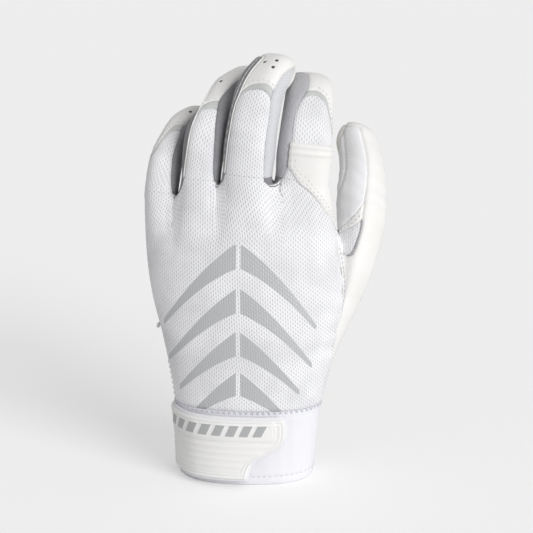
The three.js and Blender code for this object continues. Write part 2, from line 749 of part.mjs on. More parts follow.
// Bar tack across the top of the slit
{
  const tack = new THREE.CapsuleGeometry(BAR_TACK_RADIUS, BAR_TACK_LENGTH - 2 * BAR_TACK_RADIUS, 3, 8);
  const foot = wristPoint(0, SLIT_TOP);
  tack.translate(foot.x - BAR_TACK_RADIUS - CLEAR, foot.y, foot.z);
  add('bar_tack', tack, THREAD);
}

// Angle round the wrist at a distance from the little finger's side line, over the back when positive
const GIRTH_LEVEL = CUFF_HEIGHT * HALF;
const girth = [[0, 0]];
{
  const turns = 720;
  for (let k = 1; k <= turns; k += 1) {
    const psi = (k / turns) * Math.PI;
    const before = wristPoint(psi - Math.PI / turns, GIRTH_LEVEL);
    girth.push([girth[k - 1][0] + wristPoint(psi, GIRTH_LEVEL).distanceTo(before), psi]);
  }
}
function psiAt(distance) {
  const reach = Math.abs(distance);
  const k = Math.max(1, girth.findIndex(([length]) => length >= reach));
  const [a, b] = [girth[k - 1], girth[k]];
  return Math.sign(distance) * lerp(a[1], b[1], (reach - a[0]) / (b[0] - a[0]));
}
const strapSurface = (distance, z) => wristPoint(psiAt(distance), z);

// The strap lies on the cuff at its root and rides up over the loop pad and its own hook pad
const STACK = CLEAR + LOOP + CLEAR + HOOK + CLEAR;
const strapLift = (distance) => lerp(CLEAR, STACK, ease((distance - RAMP_START) / (RAMP_END - RAMP_START)));
const strapEnd = (z, inset) => {
  const share = clamp((z - STRAP_FOOT) / STRAP_HEIGHT, 0, 1);
  return stationAt(STRAP_END_SHARES, share)[1] * STRAP_REACH - inset;
};
function strapGrid(fromDistance, inset, columns) {
  const levels = STRAP_END_SHARES.map(([share]) =>
    clamp(STRAP_FOOT + share * STRAP_HEIGHT, STRAP_FOOT + inset, STRAP_FOOT + STRAP_HEIGHT - inset));
  return levels.map((z) => spread(fromDistance, strapEnd(z, inset), columns).map((d) => [d, z]));
}
{
  const start = -STRAP_HINGE + SEAM * HALF;
  const over = (extra) => (d) => strapLift(d) + extra;
  const base = strapGrid(start, 0, 18);
  const baseShell = { outer: over(STRAP), inner: over(0), level: true };
  add('strap', shell(strapSurface, base, baseShell), WHITE_NEOPRENE);
  const cover = strapGrid(start, COVER_INSET, 18);
  const foot = STRAP + CLEAR;
  const coverShell = { outer: over(foot + STRAP_COVER), inner: over(foot), level: true };
  add('strap_cover', shell(strapSurface, cover, coverShell), MOULDED_TPU);

  const padLevels = spread(STRAP_FOOT + HOOK_INSET, STRAP_FOOT + STRAP_HEIGHT - HOOK_INSET, 3);
  const padGrid = (from) =>
    padLevels.map((z) => spread(from, strapEnd(z, HOOK_INSET), 12).map((d) => [d, z]));
  const hookTop = STACK - CLEAR;
  const hookShell = { outer: hookTop, inner: hookTop - HOOK, level: true };
  add('hook_pad', shell(strapSurface, padGrid(RAMP_END + HOOK_INSET), hookShell), HOOK_NYLON);
  const loop = shell(strapSurface, padGrid(RAMP_END), { outer: CLEAR + LOOP, inner: CLEAR, level: true });
  add('loop_pad', loop, HOOK_NYLON);

  // The strap's root is stitched to the palm side of the cuff behind the hinge line
  const rootLevels = spread(STRAP_FOOT, STRAP_FOOT + STRAP_HEIGHT, 3);
  const rootGrid = rootLevels.map((z) =>
    spread(-STRAP_HINGE - STRAP_ROOT, -STRAP_HINGE - SEAM * HALF, 4).map((d) => [d, z]));
  const rootShell = { outer: CLEAR + STRAP, inner: CLEAR, level: true };
  add('strap_root', shell(strapSurface, rootGrid, rootShell), WHITE_NEOPRENE);
}

// The part's origin is the middle of its outline on the ground
const box = new THREE.Box3().setFromObject(glove, true);
const centre = box.getCenter(vec(0, 0, 0));
glove.position.set(-centre.x, -centre.y, -box.min.z);

export default glove;
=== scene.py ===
# %% [markdown]
# A batting glove for the left hand, standing on its cuff with the fingers curled away from the viewer.
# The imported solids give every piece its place. Each sewn panel is then made again here as a fine
# surface with turned edges, stitches and cloth, on the same curves as the solids, so that it sits
# exactly where its solid does.

import bpy
import mathutils
import numpy as np
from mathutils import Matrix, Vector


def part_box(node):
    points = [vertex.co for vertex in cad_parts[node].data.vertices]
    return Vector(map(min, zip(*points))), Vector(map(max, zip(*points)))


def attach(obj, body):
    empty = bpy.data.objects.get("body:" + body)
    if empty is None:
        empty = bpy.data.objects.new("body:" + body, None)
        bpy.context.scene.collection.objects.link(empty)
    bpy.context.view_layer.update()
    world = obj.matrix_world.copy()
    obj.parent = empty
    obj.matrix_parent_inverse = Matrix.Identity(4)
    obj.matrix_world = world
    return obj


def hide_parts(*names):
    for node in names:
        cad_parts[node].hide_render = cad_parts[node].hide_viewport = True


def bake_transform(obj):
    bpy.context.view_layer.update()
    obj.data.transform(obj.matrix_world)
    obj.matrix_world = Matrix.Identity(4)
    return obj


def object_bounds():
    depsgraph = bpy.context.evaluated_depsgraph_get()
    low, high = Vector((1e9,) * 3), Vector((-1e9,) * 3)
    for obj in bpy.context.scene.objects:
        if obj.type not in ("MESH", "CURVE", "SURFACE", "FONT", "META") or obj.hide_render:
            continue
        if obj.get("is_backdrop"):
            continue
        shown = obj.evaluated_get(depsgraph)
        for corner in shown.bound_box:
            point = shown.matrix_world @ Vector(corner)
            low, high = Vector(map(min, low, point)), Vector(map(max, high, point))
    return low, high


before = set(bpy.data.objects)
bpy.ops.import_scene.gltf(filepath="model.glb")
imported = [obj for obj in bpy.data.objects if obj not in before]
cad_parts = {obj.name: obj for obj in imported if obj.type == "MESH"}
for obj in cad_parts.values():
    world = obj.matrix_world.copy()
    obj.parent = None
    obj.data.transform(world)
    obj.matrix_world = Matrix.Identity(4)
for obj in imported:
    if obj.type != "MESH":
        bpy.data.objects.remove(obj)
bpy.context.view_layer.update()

# %% [markdown]
# The sizes of the glove, in millimetres. X runs to the thumb, Y from the back of the hand to the palm,
# Z to the fingertips. They are the same named sizes as the solids have, because every piece below
# follows the same curves.

# %% Sizes of the hand, the cuff and the seams
MM = 0.001
HALF = 0.5
HAND_LENGTH = 150
HAND_WIDTH = 96
HAND_DEPTH = 43
CUFF_HEIGHT = 38
KNUCKLE_BLEND = 38
ROOT_RUN = 7
CROTCH_DIP = 3.5
SEAM = 0.3
FABRIC = 1.0
LEATHER = 1.0
NEOPRENE = 2.0
CLEAR = 0.3
HAND_POWER = 2.3
FINGER_POWER = 2.6
# Level of the hand's length, then centre and half width of its width, back depth, palm depth and arch
# of its depth
HAND_SHARES = np.array([
    [0, -0.0104, 0.3542, 0.523, 0.465, 0],
    [0.2533, 0, 0.3854, 0.488, 0.477, 0],
    [0.4667, 0.0104, 0.4583, 0.477, 0.477, 0.047],
    [0.6133, -0.0052, 0.5, 0.442, 0.419, 0.093],
    [0.7733, -0.0365, 0.5, 0.395, 0.326, 0.14],
    [1, -0.0521, 0.4792, 0.302, 0.209, 0.163],
])

# %% Sizes of the fingers and the thumb
LITTLE_GAP = 2.8
RING_GAP = 1.6
INDEX_GAP = 1.4
MIDDLE_OFFSET = 0
BEND_SPAN = 20
BEND_SHARES = (0.3, 0.66)
TIP_ROUND = 11
TIP_WIDTH_SHARE = 0.42
TWIST_START_SHARE = 0.35
TWIST_SPAN_SHARE = 0.45
TIP_TURNS = 4
WALL_TAPER = 26
BACK_SEAM = 50
PALM_SEAM = 130
SEAM_DRAW = 8
SEAM_DRAW_SPAN = 18
LITTLE_SIDE_DRAW = 22
SEAM_CLOSE = 9
# Walk in mm, then the seam's angle off the middle of the finger's back, in degrees
LITTLE_RIGHT = [[0, 50], [4, 38], [12, 30], [20, 20], [29, 21], [34, 33], [40, 52]]
RING_RIGHT = [[0, 50], [4, 42], [16, 37], [21, 31], [25, 20], [30, 9], [36, 3], [42, 10], [50, 27], [60, 50]]
MIDDLE_LEFT = [[0, 50], [20, 46], [26, 47], [32, 41], [36, 30], [42, 19], [48, 12], [56, 12]]
MIDDLE_RIGHT = [[0, 50], [13, 47], [26, 50], [37, 55], [41, 62], [45, 70], [56, 77]]
INDEX_LEFT = [[0, 50], [6, 36], [20, 35], [25, 35], [30, 30], [35, 17], [39, 6], [46, 6], [54, 12]]
FINGERS = [
    dict(name="little", width=16.4, depth=17.6, length=54.9, rise=-6.5, setback=6,
         lean=6, pitch=7, yaw=34, facing=0, turns=(36, 38), taper_share=0.22, leather=27),
    dict(name="ring", width=18.9, depth=18.8, length=72.9, rise=1.5, setback=0.5,
         lean=4.6, pitch=4, yaw=29, facing=3, turns=(44, 29), taper_share=0.14, leather=40),
    dict(name="middle", width=24, depth=20, length=64.5, rise=4.5, setback=-3,
         lean=4.2, pitch=3, yaw=30, facing=8, turns=(13, 46), taper_share=0.13, leather=27),
    dict(name="index", width=25.9, depth=20, length=61.6, rise=1.5, setback=4,
         lean=6, pitch=3, yaw=-4, facing=-8, turns=(26, 56), taper_share=0.14, leather=27),
]
THUMB_SPEC = dict(name="thumb", width=27.6, depth=26, length=102.3,
                  lean=26.5, pitch=13, yaw=-46, facing=-46, turns=(29, 20), taper_share=0.25)
THUMB_ROOT = (41.3, 13, 82)
THUMB_BEND_SHARES = (0.297, 0.733)
THUMB_BEND_SPAN = 24
THUMB_SPLIT = 54
THUMB_HOLE_LOW = 60
THUMB_HOLE_HIGH = 124
THUMB_LAUNCH_SHARE = 0.5
THUMB_OUTER_SEAM = 60
THUMB_SEAM_CLOSE = 5
# Walk in mm, then the angle off the middle of the thumb's back: the leather's seam, and the gusset's
# inner seam
THUMB_SEAM = [[0, 135], [20, 116], [30, 94], [35, 76], [39, 65], [44, 55], [50, 54], [60, 49], [70, 47],
              [88, 44], [95, 41]]
THUMB_STRIP = [[36, 146], [46, 138], [57, 124], [65, 107], [72, 101], [82, 100], [92, 94], [99, 91]]
# Share round the gusset, then the walk at which its stitched band starts and ends
CORNER_BAND = np.array([[0, 30, 36], [0.2, 33.5, 38.5], [0.41, 37.5, 41], [0.68, 42.2, 45.5],
                        [0.75, 43.2, 47.5], [0.86, 45, 50],
                        [1, 47, 54.5]])
HOLE_BACK_TURN = 24
HOLE_PALM_TURN = 54
SIDE_TURN = 30

# %% Sizes of the slit and the strap
SLIT_TOP = 75
SLIT_HALF = 2
BINDING_WIDTH = 6
BINDING = 1.6
BINDING_END_SHARE = 0.8
BAR_TACK_LENGTH = 5
BAR_TACK_RADIUS = 1.1
STRAP_FOOT = 3
STRAP_HEIGHT = 33.5
STRAP_REACH = 66.5
STRAP_HINGE = 14
STRAP_ROOT = 15
STRAP = 1.0
COVER_INSET = 1.2
HOOK = 0.8
LOOP = 0.8
HOOK_INSET = 3
RAMP_START = 8
RAMP_END = 24
STRAP_END_SHARES = np.array([[0, 0.73], [0.3, 0.78], [0.45, 0.9], [0.6, 0.985], [0.78, 1], [0.94, 0.98],
                             [1, 0.94]])
SQUEEZE_NEAR = 0.8
SQUEEZE_FAR = 1.7

# %% [markdown]
# A hand is a stack of rounded sections. Each section is a superellipse, an ellipse whose corners are
# filled out a little, and the sizes between two known levels follow smooth cubic curves. numpy works
# out a whole grid of points in one go, which is fast and keeps each shape a formula.

# %% Curves that everything is built from
def ease(t):
    """Smooth step: three times t squared less twice t cubed, held between 0 and 1."""
    t = np.clip(t, 0, 1)
    return t * t * (3 - 2 * t)


def corner(value, power):
    """Signed power of a sine or cosine: the value's size to the power 2 over the section's power."""
    return np.sign(value) * np.abs(value) ** (2 / power)


def lerp(a, b, t):
    """a plus t times the way from a to b."""
    return a + (b - a) * t


def stations(table, level):
    """Cubic curves through every column of a table over its first column, with slopes from each row's
    neighbours."""
    x, y = table[:, 0], table[:, 1:]
    last = len(x) - 1
    before = np.maximum(np.arange(last + 1) - 1, 0)
    after = np.minimum(np.arange(last + 1) + 1, last)
    slope = (y[after] - y[before]) / (x[after] - x[before])[:, None]
    level = np.asarray(level, float)
    k = np.clip(np.searchsorted(x, level) - 1, 0, last - 1)
    h = (x[k + 1] - x[k])[..., None]
    q = np.clip((level - x[k])[..., None] / h, 0, 1)
    smooth = y[k] + (y[k + 1] - y[k]) * q * q * (3 - 2 * q)
    return smooth + q * (1 - q) ** 2 * h * slope[k] + q * q * (q - 1) * h * slope[k + 1]


def section(z):
    """Centre, half width, back depth, palm depth and arch of the hand at a level, in mm."""
    share = np.moveaxis(stations(HAND_SHARES, z / HAND_LENGTH), -1, 0)
    return (share[0] * HAND_WIDTH, share[1] * HAND_WIDTH, share[2] * HAND_DEPTH, share[3] * HAND_DEPTH,
            share[4] * HAND_DEPTH)


def point(x, y, z):
    """Three arrays joined into one array of points."""
    x, y, z = np.broadcast_arrays(x, y, z)
    return np.stack([x, y, z], -1).astype(float)


def bare_point(phi, z, side):
    """The section's superellipse: width times the cosine, depth times the sine, and the arch times
    width squared."""
    centre, half, back, palm, arch = section(z)
    across = -corner(np.cos(phi), HAND_POWER)
    depth = back if side < 0 else palm
    return point(centre + half * across,
                 side * depth * corner(np.sin(phi), HAND_POWER) + arch * across * across, z)


def phi_at(x, z):
    """Angle on the section at which the hand is x across."""
    centre, half, *_ = section(z)
    share = np.clip((x - centre) / half, -1, 1)
    return np.arccos(-np.sign(share) * np.abs(share) ** (HAND_POWER / 2))


def phi_off(offset, z, side):
    """Angle from the side line at which the section stands a distance off it."""
    _, _, back, palm, _ = section(z)
    share = np.minimum(offset / (back if side < 0 else palm), 1)
    return np.arcsin(share ** (HAND_POWER / 2))


print("half width at the knuckles", round(float(section(np.array(116.0))[1]), 1), "mm")

# %% [markdown]
# A finger is a tube round a curved centre line. The line leaves the hand along one direction and turns
# towards the palm at two joints; its place comes from adding up short steps. Round the tip, the tube's
# height falls as a cosine while the walk goes on as a sine, which closes it like a quarter circle.

# %% Fingers and thumb as tubes
def unit(v):
    """A vector divided by its own length."""
    return v / np.linalg.norm(v, axis=-1, keepdims=True)


def digit(spec, root, shares, span):
    """The finger's own directions, and its centre line as sums of the cosine and sine of its growing bend."""
    along = unit(np.array([np.tan(np.radians(spec["lean"])), np.tan(np.radians(spec["pitch"])), 1.0]))
    across = np.array([np.cos(np.radians(spec["yaw"])), -np.sin(np.radians(spec["yaw"])), 0.0])
    across = unit(across - across @ along * along)
    count = 240
    step = spec["length"] / count
    bends = [(share * spec["length"], np.radians(turn)) for share, turn in zip(shares, spec["turns"])]
    bend = lambda s: sum(turn * ease((s - at) / span + HALF) for at, turn in bends)
    middles = (np.arange(count) + HALF) * step
    rise = np.concatenate([[0], np.cumsum(np.cos(bend(middles)) * step)])
    reach = np.concatenate([[0], np.cumsum(np.sin(bend(middles)) * step)])
    return dict(spec, root=np.array(root, float), along=along, across=across, dorsal=np.cross(across, along),
                bend=bend, step=step, rise=rise, reach=reach, straight=spec["length"] - TIP_ROUND)


def digit_line(d, s):
    """Centre of the tube and the way to its back at a distance s along it."""
    k = np.clip(np.floor(s / d["step"]).astype(int), 0, len(d["rise"]) - 2)
    q = s / d["step"] - k
    rise = lerp(d["rise"][k], d["rise"][k + 1], q)[..., None]
    reach = lerp(d["reach"][k], d["reach"][k + 1], q)[..., None]
    bend = d["bend"](s)[..., None]
    return (d["root"] + rise * d["along"] - reach * d["dorsal"],
            np.cos(bend) * d["dorsal"] + np.sin(bend) * d["along"])


def digit_point(d, theta, walk):
    """Centre plus half the width times the squared-up sine and half the depth times the squared-up cosine.

    The section faces the viewer at the root and twists into the plane of the curl towards the tip.
    """
    theta, walk = np.broadcast_arrays(np.asarray(theta, float), np.asarray(walk, float))
    turn = np.maximum(0, (walk - d["straight"]) / TIP_ROUND)
    s = np.where(turn > 0, d["straight"] + TIP_ROUND * np.sin(turn), walk)
    taper = 1 - d["taper_share"] * ease(s / d["length"])
    half = d["width"] * HALF * taper * (1 - (1 - TIP_WIDTH_SHARE) * (1 - np.cos(turn)))
    deep = d["depth"] * HALF * taper * np.cos(turn)
    centre, up = digit_line(d, s)
    x = half * corner(np.sin(theta), FINGER_POWER)
    y = deep * corner(np.cos(theta), FINGER_POWER)
    roll = np.radians(d["yaw"] - d["facing"])
    twist = roll * (1 - ease((walk / d["length"] - TWIST_START_SHARE) / TWIST_SPAN_SHARE))
    sides = (x * np.cos(twist) + y * np.sin(twist))[..., None] * d["across"]
    return centre + sides + (y * np.cos(twist) - x * np.sin(twist))[..., None] * up


def digit_end(d):
    """Walk at which the back and the palm side are one seam apart at the tip."""
    return d["straight"] + TIP_ROUND * np.arccos(SEAM / (d["depth"] * HALF * (1 - d["taper_share"])))


def closed_end(d):
    """Walk at which the back and the palm side all but meet, where the dressed panels end."""
    return d["straight"] + TIP_ROUND * (np.pi * HALF - 0.004)


def tip_walk(d, turn):
    """Walk that belongs to a turn of the tip: from the straight part's end to the tip's end, in step
    with it."""
    return lerp(d["straight"], digit_end(d), turn / TIP_TURNS)


def seam_angle(d, base, walk):
    """Angle of a side seam: its base angle, eased to 90 degrees half way round the tip, where two
    seams meet."""
    end = tip_walk(d, TIP_TURNS * HALF)
    return lerp(np.radians(base), np.radians(90), ease((walk - end + WALL_TAPER) / WALL_TAPER))


def finger_seam(d, walk):
    """A finger's back seam draws in by a few degrees over its root."""
    return seam_angle(d, BACK_SEAM - SEAM_DRAW * ease(walk / SEAM_DRAW_SPAN), walk)


def along_table(table, value):
    """Second column of a table over its first, as a smooth curve."""
    return stations(np.asarray(table, float), value)[..., 0]


def drawn_seam(d, table, walk):
    """A back seam at the angles of a table, which then closes to 90 degrees half way round the tip."""
    end = tip_walk(d, TIP_TURNS * HALF)
    return np.radians(lerp(along_table(table, walk), 90, ease((walk - end + SEAM_CLOSE) / SEAM_CLOSE)))


def little_side(d, walk):
    """The little finger's outer seam draws in further, so that the palm's leather shows along its side."""
    return seam_angle(d, 90 - LITTLE_SIDE_DRAW * ease(walk / SEAM_DRAW_SPAN), walk)


def seen_half(d):
    """Half the width that the front view shows: half the finger's width times the cosine of its turn."""
    return d["width"] * HALF * np.cos(np.radians(d["facing"]))


little, ring, middle, index = FINGERS
middle["x"] = MIDDLE_OFFSET
ring["x"] = middle["x"] - seen_half(middle) - RING_GAP - seen_half(ring)
little["x"] = ring["x"] - seen_half(ring) - LITTLE_GAP - seen_half(little)
index["x"] = middle["x"] + seen_half(middle) + INDEX_GAP + seen_half(index)
DIGITS = [digit(f, (f["x"], f["setback"], HAND_LENGTH + f["rise"]), BEND_SHARES, BEND_SPAN) for f in FINGERS]
INDEX = DIGITS[-1]
THUMB = digit(THUMB_SPEC, THUMB_ROOT, THUMB_BEND_SHARES, THUMB_BEND_SPAN)
print("finger centres across the hand", [round(d["x"], 1) for d in DIGITS])

# %% [markdown]
# The hand's upper edge runs round each finger's root and dips between two fingers. The hand's surface
# is the stack of sections, carried over to that edge along the last stretch, so that fingers and hand
# share one line.

# %% The hand's surface up to the finger roots, and round the thumb's opening
def dip_point(left, right, left_theta, right_theta, q, dip):
    """A half turn from one finger to the next: the cosine across, and the dip times the sine downwards."""
    a = digit_point(left, left_theta, -SEAM * HALF)
    b = digit_point(right, right_theta, -SEAM * HALF)
    q = np.asarray(q, float)[..., None]
    up = unit(left["along"] + right["along"])
    return (a + b) * HALF + (a - b) * HALF * np.cos(np.pi * q) - dip * np.sin(np.pi * q) * up


def top_edge(side):
    """The pieces of the upper edge, each with the stretch of phi that it covers."""
    near = BACK_SEAM if side < 0 else PALM_SEAM
    wrap = 0 if side < 0 else 360
    pieces = []
    for k, d in enumerate(DIGITS):
        start = np.radians(-90 if k == 0 else -near)
        stop = np.radians((90 if k == len(DIGITS) - 1 else near) - wrap)
        pieces.append(("root",
                       lambda t, d=d, a=start, b=stop: digit_point(d, lerp(a, b, t), -SEAM * HALF + 0 * t)))
        if k < len(DIGITS) - 1:
            pieces.append(("dip", lambda t, a=d, b=DIGITS[k + 1]:
                           dip_point(a, b, np.radians(near) + 0 * t, np.radians(-near) + 0 * t, t,
                                     CROTCH_DIP)))
    ends = [0.0] + [float(phi_at(at(np.array(1.0))[0], HAND_LENGTH)) for _, at in pieces]
    ends[-1] = np.pi
    return [(kind, at, ends[k], ends[k + 1]) for k, (kind, at) in enumerate(pieces)]


TOP_EDGES = {-1: top_edge(-1), 1: top_edge(1)}


def top_point(phi, side):
    """Point of the upper edge at phi: each stretch of phi runs evenly along its piece."""
    out = np.zeros(phi.shape + (3,))
    for kind, at, start, stop in TOP_EDGES[side]:
        here = (phi >= start) & (phi <= stop)
        out[here] = at((phi[here] - start) / (stop - start))
    return out


def root_way(phi, side):
    """Direction of the finger above each stretch of the upper edge, changing evenly across a dip."""
    roots = [(start, stop) for kind, _, start, stop in TOP_EDGES[side] if kind == "root"]
    knots = np.array(roots).ravel()
    ways = np.repeat([d["along"] for d in DIGITS], 2, axis=0)
    return unit(np.stack([np.interp(phi, knots, ways[:, k]) for k in range(3)], -1))


def hand_point(phi, z, side):
    """The bare section plus the way to the upper edge, weighted by a smooth step over the last stretch.

    Close to the edge it goes over to a straight run along the fingers, so that no kink shows at their roots.
    """
    phi, z = np.broadcast_arrays(np.asarray(phi, float), np.asarray(z, float))
    top = np.clip(phi, 0, np.pi)
    edge = top_point(top, side)
    shift = edge - bare_point(top, HAND_LENGTH + 0 * z, side)
    body = (bare_point(phi, z, side) + ease((z - HAND_LENGTH + KNUCKLE_BLEND) / KNUCKLE_BLEND)[..., None]
            * shift)
    run = edge + (z - HAND_LENGTH)[..., None] * root_way(top, side)
    return lerp(body, run, ease((z - HAND_LENGTH + ROOT_RUN) / ROOT_RUN)[..., None])


def hand_around(psi, z):
    """The whole way round: the back up to pi, which is the thumb's side line, then the palm."""
    psi, z = np.broadcast_arrays(np.asarray(psi, float), np.asarray(z, float))
    back = hand_point(np.minimum(psi, np.pi), z, -1)
    palm = hand_point(np.minimum(2 * np.pi - psi, np.pi), z, 1)
    return np.where((psi <= np.pi)[..., None], back, palm)


def side_seam(z):
    """The thumb's side seam swings to the palm up to the crotch and back to the side line above it."""
    up = ease((z - THUMB_HOLE_LOW) / (THUMB_HOLE_HIGH - THUMB_HOLE_LOW))
    on = ease((z - THUMB_HOLE_HIGH) / (HAND_LENGTH - THUMB_HOLE_HIGH))
    return np.pi + np.radians(SIDE_TURN) * (up - on)


def hole_point(theta):
    """Edge of the thumb's opening: its level is a cosine of theta, its turn round the hand a sine."""
    z = (THUMB_HOLE_LOW + THUMB_HOLE_HIGH) * HALF - (THUMB_HOLE_HIGH - THUMB_HOLE_LOW) * HALF * np.cos(theta)
    turn = np.radians(np.where(np.sin(theta) < 0, HOLE_BACK_TURN, HOLE_PALM_TURN))
    return hand_around(side_seam(z) + turn * np.sin(theta), z)


def thumb_point(theta, walk):
    """From the opening's edge to the thumb's tube, mixed by a smooth step of the walk."""
    theta, walk = np.broadcast_arrays(np.asarray(theta, float), np.asarray(walk, float))
    start = hole_point(theta) + (walk * THUMB_LAUNCH_SHARE)[..., None] * THUMB["along"]
    return lerp(start, digit_point(THUMB, theta, walk), ease(walk / THUMB_SPLIT)[..., None])


def wrist_point(psi, z):
    """The section as one closed line, back for a positive sine and palm for a negative one."""
    centre, half, back, palm, arch = section(z)
    across = -corner(np.cos(psi), HAND_POWER)
    depth = np.where(np.sin(psi) < 0, palm, back)
    return point(centre + half * across, -depth * corner(np.sin(psi), HAND_POWER) + arch * across * across, z)


def slit_offset(z):
    """Distance of a panel's edge from the little finger's side line: a wedge that closes at the slit's
    top."""
    return np.maximum(SEAM * HALF, (SLIT_HALF + BINDING_WIDTH) * (1 - z / SLIT_TOP))


BAR_TACK_PLACE = wrist_point(0.0, SLIT_TOP * 1.0) - [BAR_TACK_RADIUS + CLEAR, 0, 0]
tack_low, tack_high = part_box("bar_tack")
SHIFT = np.array((tack_low + tack_high) * HALF) / MM - BAR_TACK_PLACE
print("the solids' frame is shifted by", SHIFT.round(2), "mm")

# %% [markdown]
# Every sewn panel is a thin shell: a grid of points on the glove's outer surface, the same grid one
# wall further in, and a rim round both. The shell could come from the Solidify modifier, but here its
# edges are also turned down into the seams and puckered by the thread, so the outer grid is lifted and
# lowered by a formula before the shell is closed.

# %% Meshes from whole arrays
def piece_from(name, points, faces, material, uv=None, marks=None):
    """Points in mm and rows of corners become one smooth mesh in metres, with a UV map in decimetres
    of cloth."""
    mesh = bpy.data.meshes.new(name)
    corners = np.concatenate([f.ravel() for f in faces])
    sizes = np.concatenate([np.full(len(f), f.shape[1]) for f in faces])
    mesh.vertices.add(len(points))
    mesh.vertices.foreach_set("co", ((points + SHIFT) * MM).astype(np.float32).ravel())
    mesh.loops.add(len(corners))
    mesh.loops.foreach_set("vertex_index", corners.astype(np.int32))
    mesh.polygons.add(len(sizes))
    mesh.polygons.foreach_set("loop_start", np.concatenate([[0], np.cumsum(sizes)[:-1]]).astype(np.int32))
    mesh.update(calc_edges=True)
    mesh.validate()
    mesh.shade_smooth()
    if uv is not None:
        layer = mesh.uv_layers.new(name="cloth")
        layer.data.foreach_set("uv", uv[corners].astype(np.float32).ravel())
    for key, value in (marks or {}).items():
        mesh.attributes.new(key, "FLOAT", "POINT").data.foreach_set("value", value.astype(np.float32).ravel())
    mesh.materials.append(material)
    piece = bpy.data.objects.new(name, mesh)
    bpy.context.scene.collection.objects.link(piece)
    return piece


def walked(points):
    """Lengths in mm from the left, right, lower and upper edge of a grid, along its rows and columns."""
    across = np.linalg.norm(np.diff(points, axis=1), axis=-1)
    along = np.linalg.norm(np.diff(points, axis=0), axis=-1)
    left = np.pad(np.cumsum(across, 1), ((0, 0), (1, 0)))
    low = np.pad(np.cumsum(along, 0), ((1, 0), (0, 0)))
    return left, left[:, -1:] - left, low, low[-1:] - low


def normals(surface, u, v, level=False):
    """Cross product of the two differences of the surface; a level normal has no height."""
    step = 1e-3
    out = np.cross(surface(u + step, v) - surface(u - step, v), surface(u, v + step) - surface(u, v - step))
    if level:
        out[..., 2] = 0
    return unit(out)


def shell_faces(rows, cols, flip):
    """Quads of the outer grid, of the inner grid turned round, and of the rim between their edges."""
    grid = np.arange(rows * cols).reshape(rows, cols)
    outer = np.stack([grid[:-1, :-1], grid[:-1, 1:], grid[1:, 1:], grid[1:, :-1]], -1).reshape(-1, 4)
    loop = np.concatenate([grid[0, :-1], grid[:-1, -1], grid[-1, :0:-1], grid[:0:-1, 0]])
    after = np.roll(loop, -1)
    n = rows * cols
    rim = np.stack([after, loop, loop + n, after + n], -1)
    quads = np.concatenate([outer, outer[:, ::-1] + n, rim])
    return quads[:, ::-1] if flip else quads


def shell(name, surface, u, v, wall, material, relief=0.0, lift=0.0, flip=False, level=False, uv=None,
          marks=None):
    """The outer grid stands lift plus relief off the surface, the inner grid a wall below lift."""
    u, v = np.broadcast_arrays(u, v)
    base = surface(u, v)
    out = normals(surface, u, v, level) * (-1 if flip else 1)
    outer = base + out * (lift + relief + np.zeros(u.shape))[..., None]
    inner = base + out * (lift - wall + np.zeros(u.shape))[..., None]
    if uv is None:
        left, _, low, _ = walked(base)
        uv = np.stack([left, low], -1) / 100
    both = np.concatenate([outer.reshape(-1, 3), inner.reshape(-1, 3)])
    twice = {key: np.concatenate([value.ravel()] * 2) for key, value in (marks or {}).items()}
    faces = shell_faces(*u.shape, flip)
    piece = piece_from(name, both, [faces], material, np.concatenate([uv.reshape(-1, 2)] * 2), twice)
    smooth = np.arange(len(faces)) < 2 * (u.shape[0] - 1) * (u.shape[1] - 1)
    piece.data.polygons.foreach_set("use_smooth", smooth)
    return piece


def sewn(base, left=0.0, right=0.0, low=0.0, top=0.0, turn=0.9, pucker=0.1, pitch=3.6):
    """Each sewn edge dives by a bell curve of its distance, and puckers there by a sine along the seam."""
    lengths = walked(base)
    total = np.zeros(base.shape[:2])
    for k, depth in enumerate((left, right, low, top)):
        edge, run = lengths[k], lengths[2] if k < 2 else lengths[0]
        bell = np.exp(-(edge / turn) ** 2)
        sine = np.sin(2 * np.pi * run / pitch + 3 * np.sin(run / 11 + k))
        total = (total - depth * bell + pucker * (np.asarray(depth) > 0) * (1 - bell) * np.exp(-edge / 2.2)
                 * sine)
    return total


def ripple(a, b, size, seed):
    """Soft unevenness of cloth: six sines in seeded directions, with lengths round the given size in mm."""
    rng = np.random.default_rng(seed)
    total = np.zeros(np.broadcast(a, b).shape)
    for _ in range(6):
        turn, phase = rng.uniform(0, 2 * np.pi, 2)
        wave = size * rng.uniform(0.6, 1.7)
        total = total + np.sin((a * np.cos(turn) + b * np.sin(turn)) * 2 * np.pi / wave + phase)
    return total / 6


# %% [markdown]
# A stitch is a short bowed thread. One stitch has a few dozen faces; a seam is that stitch set down
# again and again along a path on the cloth, all in one array. Its ends dip into the cloth, as a pulled
# thread does.

# %% Stitches along a path
def ring_tube(centres, sides, radii):
    """Circles round a straight run on X: cosine and sine times a radius, with a point at either end."""
    turn = np.linspace(0, 2 * np.pi, sides, endpoint=False)
    x = np.repeat(centres, sides)
    y = np.outer(radii, np.cos(turn)).ravel()
    z = np.outer(radii, np.sin(turn)).ravel()
    return np.stack([x, y, z], -1)


def tube_faces(rings, sides, tips):
    """Quads between neighbouring rings and triangles to a tip vertex at each end."""
    grid = np.arange(rings * sides).reshape(rings, sides)
    turned = np.roll(grid, -1, 1)
    quads = np.stack([grid[:-1], grid[1:], turned[1:], turned[:-1]], -1).reshape(-1, 4)
    first = np.stack([grid[0], turned[0], np.full(sides, tips[0])], -1)
    last = np.stack([turned[-1], grid[-1], np.full(sides, tips[1])], -1)
    return quads, np.concatenate([first, last])


STITCH_SIDES = 6
STITCH_STATIONS = np.array([-0.46, -0.32, 0, 0.32, 0.46])
STITCH_SWELL = np.array([0.55, 0.95, 1.0, 0.95, 0.55])


